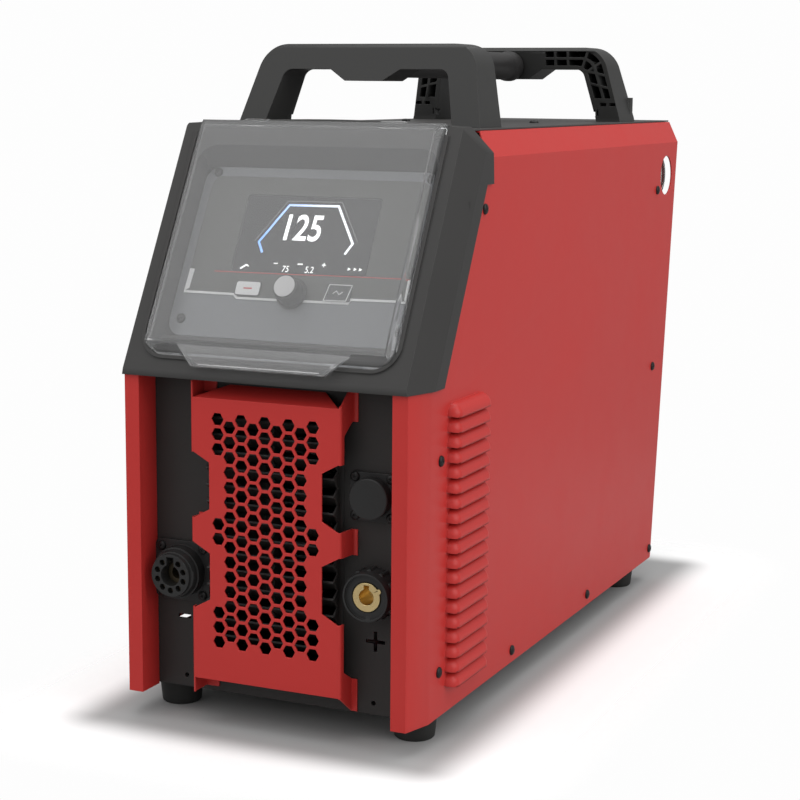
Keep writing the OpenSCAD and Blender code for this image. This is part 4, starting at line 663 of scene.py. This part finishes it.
def stroke(points, width, closed=False):
    """Quads of one width along a path of points, mitred at its corners."""
    pts = [Vector(p) for p in points]
    n = len(pts)
    sides = []
    for i, p in enumerate(pts):
        before = pts[i - 1] if (closed or i) else None
        after = pts[(i + 1) % n] if (closed or i < n - 1) else None
        a = (p - before).normalized() if before is not None else (after - p).normalized()
        b = (after - p).normalized() if after is not None else a
        na, nb = Vector((-a.y, a.x)), Vector((-b.y, b.x))
        off = (na + nb) * (width / 2 / (1 + na.dot(nb)))
        sides.append((p + off, p - off))
    quads = []
    for i in range(n if closed else n - 1):
        (l0, r0), (l1, r1) = sides[i], sides[(i + 1) % n]
        quads.append([tuple(r0), tuple(r1), tuple(l1), tuple(l0)])
    return quads


def round_outline(w, h, r, cu, cv, steps=6):
    """A rectangle with round corners about (cu, cv)."""
    out = []
    for k, (sx, sy) in enumerate(((1, 1), (-1, 1), (-1, -1), (1, -1))):
        for i in range(steps + 1):
            a = math.radians(90 * k + 90 * i / steps)
            out.append((cu + sx * (w / 2 - r) + r * math.cos(a),
                        cv + sy * (h / 2 - r) + r * math.sin(a)))
    return out


def figures(name, text, size, corner, narrow, bold):
    """Digits as a thin mesh on the control face, from their lower left corner."""
    curve = bpy.data.curves.new(name, "FONT")
    curve.body = text
    curve.size = size
    curve.shear = FIGURE_SLANT
    curve.offset = bold
    curve.extrude = FIGURE_DEPTH
    temp = linked(name + "_text", curve)
    mesh = applied(temp)
    bpy.data.objects.remove(temp)
    mesh.name = name
    u, v = corner
    for vertex in mesh.vertices:
        c = vertex.co.copy()
        vertex.co = on_face(u + c.x * narrow, v + c.y, FILM_FACE + FIGURE_LIFT + c.z)
    return bind(name, mesh, "case", "figures")


def solids_of(node):
    """The separate solids of a node, each as a list of its points."""
    work = merged(node)
    left = set(work.verts)
    found = []
    while left:
        stack = [left.pop()]
        points = []
        while stack:
            v = stack.pop()
            points.append(v.co.copy())
            for e in v.link_edges:
                o = e.other_vert(v)
                if o in left:
                    left.remove(o)
                    stack.append(o)
        found.append(points)
    work.free()
    return sorted(found, key=lambda pts: tuple(round(c, 5) for c in pts_centre(pts)))


def pts_centre(points):
    return sum(points, Vector()) / len(points)


def screw_head():
    """The turned outline of a pan head on a short shank."""
    work = bmesh.new()
    loops = []
    for r, z in HEAD_PROFILE:
        turns = [2 * math.pi * i / HEAD_SIDES for i in range(HEAD_SIDES if r else 1)]
        loops.append([work.verts.new((r * math.cos(a), r * math.sin(a), z)) for a in turns])
    for low, high in zip(loops, loops[1:]):
        for i in range(HEAD_SIDES):
            j = (i + 1) % HEAD_SIDES
            ring = [low[i % len(low)], low[j % len(low)], high[j % len(high)], high[i % len(high)]]
            work.faces.new(list(dict.fromkeys(ring)))
    bmesh.ops.recalc_face_normals(work, faces=work.faces)
    return linked("head_form", mesh_from(work, "head"))


def screw_cross():
    """Two crossed blades, narrower at their foot, that cut the recess."""
    work = bmesh.new()
    for a in (0, 90):
        blade = (Matrix.Rotation(math.radians(a), 4, "Z")
                 @ Matrix.Translation((0, 0, BLADE_MIDDLE)) @ Matrix.Diagonal((*BLADE_SIZE, 1)))
        for v in bmesh.ops.create_cube(work, size=1.0, matrix=blade)["verts"]:
            if v.co.z < BLADE_FOOT:
                v.co.x *= BLADE_TAPER
                v.co.y *= BLADE_TAPER
    return linked("cross_form", mesh_from(work, "cross"))


def screw_form():
    """A pan head with a cross recess, its seat at z = 0 and its radius 1, on a short shank."""
    head, cross = screw_head(), screw_cross()
    cut = head.modifiers.new("cross", "BOOLEAN")
    cut.operation = "DIFFERENCE"
    cut.solver = "EXACT"
    cut.object = cross
    cut.use_self = True
    made = applied(head)
    for o in (head, cross):
        bpy.data.objects.remove(o)
    soften(made, SCREW_SOFT_ANGLE)
    form = linked("screw_form", made)
    form.hide_render = True
    return form


def scatter_tree():
    """Geometry nodes: a form set on every point, turned to its facing and sized by its size."""
    tree = bpy.data.node_groups.new("set on points", "GeometryNodeTree")
    for label, kind in (("Geometry", "Geometry"), ("Form", "Object"), ("Finish", "Material"),
                        ("Spin", "Float"), ("Seed", "Int")):
        tree.interface.new_socket(label, in_out="INPUT", socket_type="NodeSocket" + kind)
    tree.interface.new_socket("Geometry", in_out="OUTPUT", socket_type="NodeSocketGeometry")
    add = tree.nodes.new
    gin, gout = add("NodeGroupInput"), add("NodeGroupOutput")
    info = add("GeometryNodeObjectInfo")
    facing = add("GeometryNodeInputNamedAttribute")
    facing.data_type = "FLOAT_VECTOR"
    facing.inputs["Name"].default_value = "facing"
    size = add("GeometryNodeInputNamedAttribute")
    size.data_type = "FLOAT"
    size.inputs["Name"].default_value = "size"
    turn = add("FunctionNodeAlignRotationToVector")
    turn.axis = "Z"
    chance = add("FunctionNodeRandomValue")
    chance.data_type = "FLOAT"
    put = add("GeometryNodeInstanceOnPoints")
    spun = add("GeometryNodeRotateInstances")
    real = add("GeometryNodeRealizeInstances")
    paint = add("GeometryNodeSetMaterial")
    about = add("ShaderNodeCombineXYZ")
    # Input 3 of the random value is its greatest number and output 1 the number drawn.
    for source, out, target, into in (
            (gin, "Geometry", put, "Points"), (gin, "Form", info, "Object"),
            (info, "Geometry", put, "Instance"), (facing, "Attribute", turn, "Vector"),
            (turn, "Rotation", put, "Rotation"), (size, "Attribute", put, "Scale"),
            (gin, "Spin", chance, 3), (gin, "Seed", chance, "Seed"), (chance, 1, about, "Z"),
            (put, "Instances", spun, "Instances"), (about, "Vector", spun, "Rotation"),
            (spun, "Instances", real, "Geometry"), (real, "Geometry", paint, "Geometry"),
            (gin, "Finish", paint, "Material"), (paint, "Geometry", gout, "Geometry")):
        tree.links.new(source.outputs[out], target.inputs[into])
    return tree


def set_on_points(name, rows, form, finish, body, replaces, seed):
    """rows: (place, facing, size); the modifier's result becomes one plain mesh on the body."""
    mesh = bpy.data.meshes.new(name + "_points")
    mesh.from_pydata([tuple(r[0]) for r in rows], [], [])
    mesh.attributes.new("facing", "FLOAT_VECTOR", "POINT")
    mesh.attributes.new("size", "FLOAT", "POINT")
    for i, row in enumerate(rows):
        mesh.attributes["facing"].data[i].vector = row[1]
        mesh.attributes["size"].data[i].value = row[2]
    holder = linked(name + "_points", mesh)
    tree = bpy.data.node_groups.get("set on points") or scatter_tree()
    modifier = holder.modifiers.new("set", "NODES")
    modifier.node_group = tree
    sockets = {s.name: s.identifier for s in tree.interface.items_tree
               if s.in_out == "INPUT" and s.name != "Geometry"}
    for key, value in (("Form", form), ("Finish", finish_of(finish)), ("Spin", FULL_SPIN),
                       ("Seed", seed)):
        modifier[sockets[key]] = value
    made = applied(holder)
    made.name = name
    bpy.data.objects.remove(holder)
    for attribute in ("facing", "size"):
        if attribute in made.attributes:
            made.attributes.remove(made.attributes[attribute])
    return bind(name, made, body, finish, replaces)


def screw_rows(node, facing):
    """Place, facing and head radius of every packed screw of a node."""
    rows = []
    for points in solids_of(node):
        centre = pts_centre(points)
        way = facing(centre).normalized()
        low = min(p.dot(way) for p in points)
        tail = pts_centre([p for p in points if p.dot(way) < low + TAIL_BAND])
        radii = [((p - tail) - (p - tail).dot(way) * way).length for p in points]
        big = max(radii)
        seat = min(p.dot(way) for p, r in zip(points, radii) if r > HEAD_SHARE * big)
        rows.append((tail + (seat - tail.dot(way)) * way, way, big))
    return rows


# ---------------------------------------------------------------- print and stage


def lines(rows):
    """One quad for each row of two ends and a width."""
    return [stroke([start, end], width)[0] for start, end, width in rows]


def display_marks():
    """The lit scale, its dim echo, the figures and the small signs below them."""
    film_piece("scale_lit", stroke(SCALE, SCALE_LINE), "scale glow")
    mid = ECHO_CENTRE_V
    echo = [(u * ECHO_STRETCH_U, mid + (v - mid) * ECHO_STRETCH_V + ECHO_LIFT)
            for u, v in SCALE[1:5]]
    film_piece("scale_echo", stroke(echo, THIN_LINE), "dim figures")
    for row in FIGURES:
        figures(*row)
    marks = lines(SIGNS) + [[(u + du, v) for du, v in ARROW] for u in ARROW_PLACES]
    film_piece("marks_lit", marks, "figures")


def key_print():
    """Faces of both keys, the bar on one and the wave on the other."""
    middles = {}
    for node, finish in (("mode_key", "white print"), ("purge_key", "key grey")):
        (u0, u1), (v0, v1) = face_span(node, 0), face_span(node, 1)
        cu, cv = middles[node] = (u0 + u1) / 2, (v0 + v1) / 2
        face = round_outline(u1 - u0 - KEY_FACE_MARGIN, v1 - v0 - KEY_FACE_MARGIN,
                             KEY_FACE_CORNER, cu, cv)
        key_piece(node + "_face", [face], node, finish, -KEY_FACE_SINK, KEY_FACE_HEIGHT)
    cu, cv = middles["mode_key"]
    bar = [(cu - BAR_HALF, cv), (cu + BAR_HALF, cv)]
    key_piece("mode_key_bar", stroke(bar, BAR_LINE), "mode_key", "red print")
    cu, cv = middles["purge_key"]
    wave = [(cu + du, cv + dv) for du, dv in WAVE]
    key_piece("purge_key_wave", stroke(wave, THIN_LINE), "purge_key", "white print")


def purge_ring():
    """The slanted outline round the wave, just inside the key's sides."""
    (u0, u1), (v0, v1) = ((lo + RING_INSET, hi - RING_INSET)
                          for lo, hi in (face_span("purge_key", 0), face_span("purge_key", 1)))
    ring = [(u1, v1), (u0 + RING_SKEW, v1), (u0, v0), (u1 - RING_SKEW, v0)]
    key_piece("purge_key_ring", stroke(ring, THIN_LINE, closed=True), "purge_key", "white print")


def knob_disc():
    """The pale disc on the knob's end, from the span of its top points."""
    top = face_top("control_knob")
    rim = [p[1] for p in face_points("control_knob") if p[2] > top - KNOB_TOP_BAND]
    mid, r = (min(rim) + max(rim)) / 2, (max(rim) - min(rim)) / 2 - KNOB_DISC_MARGIN
    disc = [(r * math.cos(math.radians(a)), mid + r * math.sin(math.radians(a)))
            for a in range(0, 360, KNOB_DISC_STEP)]
    key_piece("knob_cap_disc", [disc], "control_knob", "knob cap", lift=0,
              height=KNOB_DISC_HEIGHT)


def floor_material():
    """Pale ground that keeps the shadow, has a painted shadow right beside the object, and goes
    over into the background without an edge.
    """
    mat, tree, shader = new_material("floor")
    shader.inputs["Emission Strength"].default_value = 1.0
    shader.inputs["Roughness"].default_value = 0.7
    shader.inputs["Specular IOR Level"].default_value = 0.2
    seen = tree.nodes.new("ShaderNodeLightPath").outputs["Is Camera Ray"]
    where = object_place(tree)
    fade = ramp(tree, vector_node(tree, "LENGTH", where), *FLOOR_FADE, 1.0, 0.0, smooth=True)
    lo, hi = CAD_BOX
    reach = where
    for kind, vector in (("ABSOLUTE", None),
                         ("SUBTRACT", (max(-lo[0], hi[0]), max(-lo[1], hi[1]), 0)),
                         ("MAXIMUM", (0, 0, 0)), ("LENGTH", None)):
        reach = vector_node(tree, kind, reach, vector)
    near = ramp(tree, reach, 0.0, FLOOR_NEAR, 1.0, 0.0, smooth=True)
    # Painted shadow for the camera: near the footprint the floor takes the darker grey and no glow.
    outside_painted_shadow = math_node(tree, "MULTIPLY", seen, ramp(tree, reach, 0.0, FLOOR_PAINTED_SHADOW_REACH, smooth=True))
    pale = colour_mix(tree, (FLOOR_SHADOW_AND_BOUNCE_GREY,) * 3, (FLOOR_PALE,) * 3, outside_painted_shadow)
    glow = colour_mix(tree, (0, 0, 0), (FLOOR_GLOW,) * 3, outside_painted_shadow)
    tree.links.new(pale, shader.inputs["Base Color"])
    tree.links.new(glow, shader.inputs["Emission Color"])
    cover = tree.nodes.new("ShaderNodeMix")
    for key, value in (("Factor", seen), ("A", fade), ("B", near)):
        tree.links.new(value, cover.inputs[key])
    tree.links.new(cover.outputs["Result"], shader.inputs["Alpha"])
    return mat


def stage_floor():
    k = FLOOR_HALF
    mesh = bpy.data.meshes.new("floor")
    mesh.from_pydata([(-k, -k, 0), (k, -k, 0), (k, k, 0), (-k, k, 0)], [], [(0, 1, 2, 3)])
    mesh.materials.append(floor_material())
    return linked("floor", mesh)


def stage_world(ambient):
    """White surroundings, with a strength of their own for three kinds of ray."""
    world = bpy.data.worlds.new("pale studio")
    world.use_nodes = True
    tree = world.node_tree
    back = tree.nodes["Background"]
    back.inputs["Color"].default_value = (1, 1, 1, 1)
    path = tree.nodes.new("ShaderNodeLightPath")
    camera, glossy, through = (math_node(tree, "MULTIPLY", path.outputs[ray], level - ambient)
                               for ray, level in RAY_LEVELS)
    total = math_node(tree, "ADD", math_node(tree, "ADD", camera, glossy), through)
    tree.links.new(math_node(tree, "ADD", total, ambient), back.inputs["Strength"])
    return world


def stage_lamps(power):
    lamps = []
    for name, spot, size, share in LAMPS:
        light = bpy.data.lights.new(name, "AREA")
        light.shape = "SQUARE"
        light.size = size
        light.energy = power * share
        lamp = linked(name, light)
        lamp.location = spot
        lamp.rotation_euler = (LAMP_AIM - Vector(spot)).to_track_quat("-Z", "Y").to_euler()
        lamps.append(lamp)
    return lamps


def stage_camera(lens):
    azimuth, elevation, roll = (math.radians(a) for a in CAMERA_ANGLES)
    ahead = Vector((-math.sin(azimuth) * math.cos(elevation),
                    math.cos(azimuth) * math.cos(elevation), -math.sin(elevation)))
    level_right = ahead.cross(Vector((0, 0, 1))).normalized()
    level_up = level_right.cross(ahead)
    right = math.cos(roll) * level_right + math.sin(roll) * level_up
    up = -math.sin(roll) * level_right + math.cos(roll) * level_up
    data = bpy.data.cameras.new("camera")
    data.lens = lens
    data.sensor_width = SENSOR
    camera = linked("camera", data)
    turn = Matrix((right, up, -ahead)).transposed().to_4x4()
    camera.matrix_world = Matrix.Translation(CAMERA_PLACE) @ turn
    return camera


# ---------------------------------------------------------------- operators


class Piecework:
    """What the operators share: an undo step each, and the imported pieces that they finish."""

    bl_options = {"REGISTER", "UNDO"}
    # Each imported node, the name of its finished piece, and its finish.
    copies = ()

    def execute(self, context):
        for node, name, finish in self.copies:
            finished_copy(node, name, finish)
        return {"FINISHED"}


class CUTTER_OT_shell(Piecework, bpy.types.Operator):
    """Coated side panels, roof, floor and rail with rounded folds"""

    bl_idname = "cutter.shell"
    bl_label = "Case shell"
    copies = (
        ("side_panel_right", "side_panel_right_coated", "case red"),
        ("side_panel_left", "side_panel_left_coated", "case red"),
        ("top_cover", "roof_coated", "roof grey"),
        ("base_plate", "floor_coated", "panel black"),
        ("rear_panel", "rear_coated", "panel black"),
        ("roof_rail", "roof_rail_bare", "galvanised"),
        ("rubber_feet", "feet_moulded", "foot rubber"),
    )


class CUTTER_OT_front(Piecework, bpy.types.Operator):
    """Front panel, its blades and the perforated guard"""

    bl_idname = "cutter.front"
    bl_label = "Front and guard"
    copies = (
        ("front_panel", "front_coated", "panel black"),
        ("outlet_louvres", "outlet_blades", "panel black"),
        ("front_guard", "guard_coated", "case red"),
    )


class CUTTER_OT_bezel(Piecework, bpy.types.Operator):
    """Moulded bezel, the clear lid and its pins"""

    bl_idname = "cutter.bezel"
    bl_label = "Bezel and lid"
    copies = (
        ("front_bezel", "bezel_moulded", "moulding black"),
        ("clear_cover", "lid_clear", "clear cover"),
        ("hinge_pins", "lid_pins", "zinc"),
    )


class CUTTER_OT_controls(Piecework, bpy.types.Operator):
    """Control plate, printed film, lit figures, knob and keys"""

    bl_idname = "cutter.controls"
    bl_label = "Control face"
    copies = (
        ("control_plate", "plate_brushed", "plate silver"),
        ("display_module", "display_glass", "display dark"),
        ("encoder_body", "encoder_cast", "zinc"),
        ("control_knob", "knob_turned", "knob black"),
        ("mode_key", "mode_key_cap", "key grey"),
        ("purge_key", "purge_key_cap", "key grey"),
        ("keypad_overlay", "film_printed", "film grey"),
    )

    def execute(self, context):
        super().execute(context)
        display_marks()
        film_piece("rule_red", stroke(RED_RULE, RED_LINE), "red print")
        film_piece("rule_white", stroke(STEP_RULE, STEP_LINE), "white print")
        film_piece("wedge_white", [WEDGE, [(-u, v) for u, v in WEDGE[::-1]]], "white print")
        key_print()
        knob_disc()
        film_piece("icon_torch", lines(TORCH_SIGN), "figures")
        purge_ring()
        return {"FINISHED"}


class CUTTER_OT_handle(Piecework, bpy.types.Operator):
    """Ribbed arches and the grip between them"""

    bl_idname = "cutter.handle"
    bl_label = "Carrying handle"
    copies = (
        ("arch_front_piece", "arch_front_moulded", "handle black"),
        ("arch_rear_piece", "arch_rear_moulded", "handle black"),
        ("grip_tube", "grip_covered", "grip rubber"),
    )


class CUTTER_OT_sockets(Piecework, bpy.types.Operator):
    """Torch, work and control sockets with their brass"""

    bl_idname = "cutter.sockets"
    bl_label = "Front sockets"
    copies = (
        ("torch_socket", "torch_socket_moulded", "socket black"),
        ("work_socket", "work_socket_moulded", "socket black"),
        ("remote_socket", "remote_socket_moulded", "socket black"),
        ("remote_cap", "remote_cap_moulded", "socket black"),
        ("torch_contacts", "torch_contacts_turned", "contact dark"),
        ("work_insert", "work_insert_turned", "turned brass"),
        ("work_nut", "work_nut_turned", "turned brass"),
    )


class CUTTER_OT_rear(Piecework, bpy.types.Operator):
    """Fan, switch, gland, earth stud, regulator and gauge"""

    bl_idname = "cutter.rear"
    bl_label = "Rear fittings"
    copies = tuple((node, node + "_finished", finish) for node, finish in (
        ("fan_frame", "socket black"), ("fan_rotor", "socket black"),
        ("fan_guard", "guard wire"), ("main_switch", "socket black"),
        ("switch_handle", "switch red"), ("cable_gland", "socket black"),
        ("gland_nut", "socket black"), ("earth_stud", "turned brass"),
        ("regulator_body", "blackened steel"), ("regulator_knob", "socket black"),
        ("filter_bowl", "bowl clear"), ("air_inlet", "turned brass"),
        ("gauge_case", "socket black"), ("gauge_dial", "dial white"),
        ("gauge_needle", "socket black"), ("gauge_lens", "gauge glass"),
    ))


class CUTTER_OT_inside(Piecework, bpy.types.Operator):
    """Finishes of the pieces inside the case, kept as they are packed"""

    bl_idname = "cutter.inside"
    bl_label = "Inside pieces"

    def execute(self, context):
        for node, finish in {
            "control_board": "board green", "air_hose": "hose blue",
            "solenoid_valve": "turned brass", "air_tunnel": "galvanised",
            "heat_sinks": "bare aluminium", "transformer": "ferrite", "main_board": "board green",
        }.items():
            NODES[node].data.materials.clear()
            NODES[node].data.materials.append(finish_of(finish))
        return {"FINISHED"}


class CUTTER_OT_screws(Piecework, bpy.types.Operator):
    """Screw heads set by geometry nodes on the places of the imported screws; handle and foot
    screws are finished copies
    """

    bl_idname = "cutter.screws"
    bl_label = "Screws"

    def execute(self, context):
        form = screw_form()
        ways = {
            "side_screws": ("blackened steel", lambda c: Vector((1 if c.x > 0 else -1, 0, 0))),
            "top_screws": ("blackened steel", lambda c: Vector((0, 0, 1))),
            "plate_screws": ("blackened steel", lambda c: OUT_SLOPE),
            "socket_screws": ("blackened steel", lambda c: Vector((0, -1, 0))),
            "fan_screws": ("blackened steel", lambda c: Vector((0, 1, 0))),
        }
        for seed, (node, (finish, facing)) in enumerate(ways.items()):
            set_on_points(node + "_set", screw_rows(node, facing), form, finish, "case",
                          (node,), seed=seed)
        bpy.data.objects.remove(form)
        for node in ("handle_screws", "foot_screws"):
            finished_copy(node, node + "_bare", "zinc")
        return {"FINISHED"}


class CUTTER_OT_stage(Piecework, bpy.types.Operator):
    """Pale floor, soft light and the camera"""

    bl_idname = "cutter.stage"
    bl_label = "Stage"

    def execute(self, context):
        values = context.scene.cutter_stage
        floor = stage_floor()
        context.scene.world = stage_world(values.ambient)
        lamps = stage_lamps(values.key)
        camera = stage_camera(values.lens)
        context.scene.camera = camera
        context.scene.view_settings.view_transform = "Standard"
        return {"FINISHED"}


PIECEWORK = (CUTTER_OT_shell, CUTTER_OT_front, CUTTER_OT_bezel, CUTTER_OT_controls,
             CUTTER_OT_handle, CUTTER_OT_sockets, CUTTER_OT_rear, CUTTER_OT_inside,
             CUTTER_OT_screws, CUTTER_OT_stage)


class CUTTER_PT_panel(bpy.types.Panel):
    """Buttons and values of the plasma cutter unit"""

    bl_label = "Plasma cutter unit"
    bl_idname = "CUTTER_PT_panel"
    bl_space_type = "VIEW_3D"
    bl_region_type = "UI"
    bl_category = "Cutter"

    def draw(self, context):
        layout = self.layout
        for group in ("cutter_finish", "cutter_face", "cutter_stage"):
            values = getattr(context.scene, group)
            box = layout.box()
            for key in values.__annotations__:
                box.prop(values, key)
        for op in PIECEWORK:
            layout.operator(op.bl_idname)


GROUP_CLASSES = (CUTTER_PG_finish, CUTTER_PG_face, CUTTER_PG_stage)


def register():
    for cls in (*GROUP_CLASSES, *PIECEWORK, CUTTER_PT_panel):
        bpy.utils.register_class(cls)
    bpy.types.Scene.cutter_finish = bpy.props.PointerProperty(type=CUTTER_PG_finish)
    bpy.types.Scene.cutter_face = bpy.props.PointerProperty(type=CUTTER_PG_face)
    bpy.types.Scene.cutter_stage = bpy.props.PointerProperty(type=CUTTER_PG_stage)


def unregister():
    for name in ("cutter_finish", "cutter_face", "cutter_stage"):
        delattr(bpy.types.Scene, name)
    for cls in reversed((*GROUP_CLASSES, *PIECEWORK, CUTTER_PT_panel)):
        bpy.utils.unregister_class(cls)


def main():
    """Registers the add-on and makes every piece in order."""
    register()
    for step in ("shell", "front", "bezel", "controls", "handle", "sockets", "rear", "inside",
                 "screws", "stage"):
        getattr(bpy.ops.cutter, step)()
    bpy.context.view_layer.update()


if __name__ == "__main__":
    main()
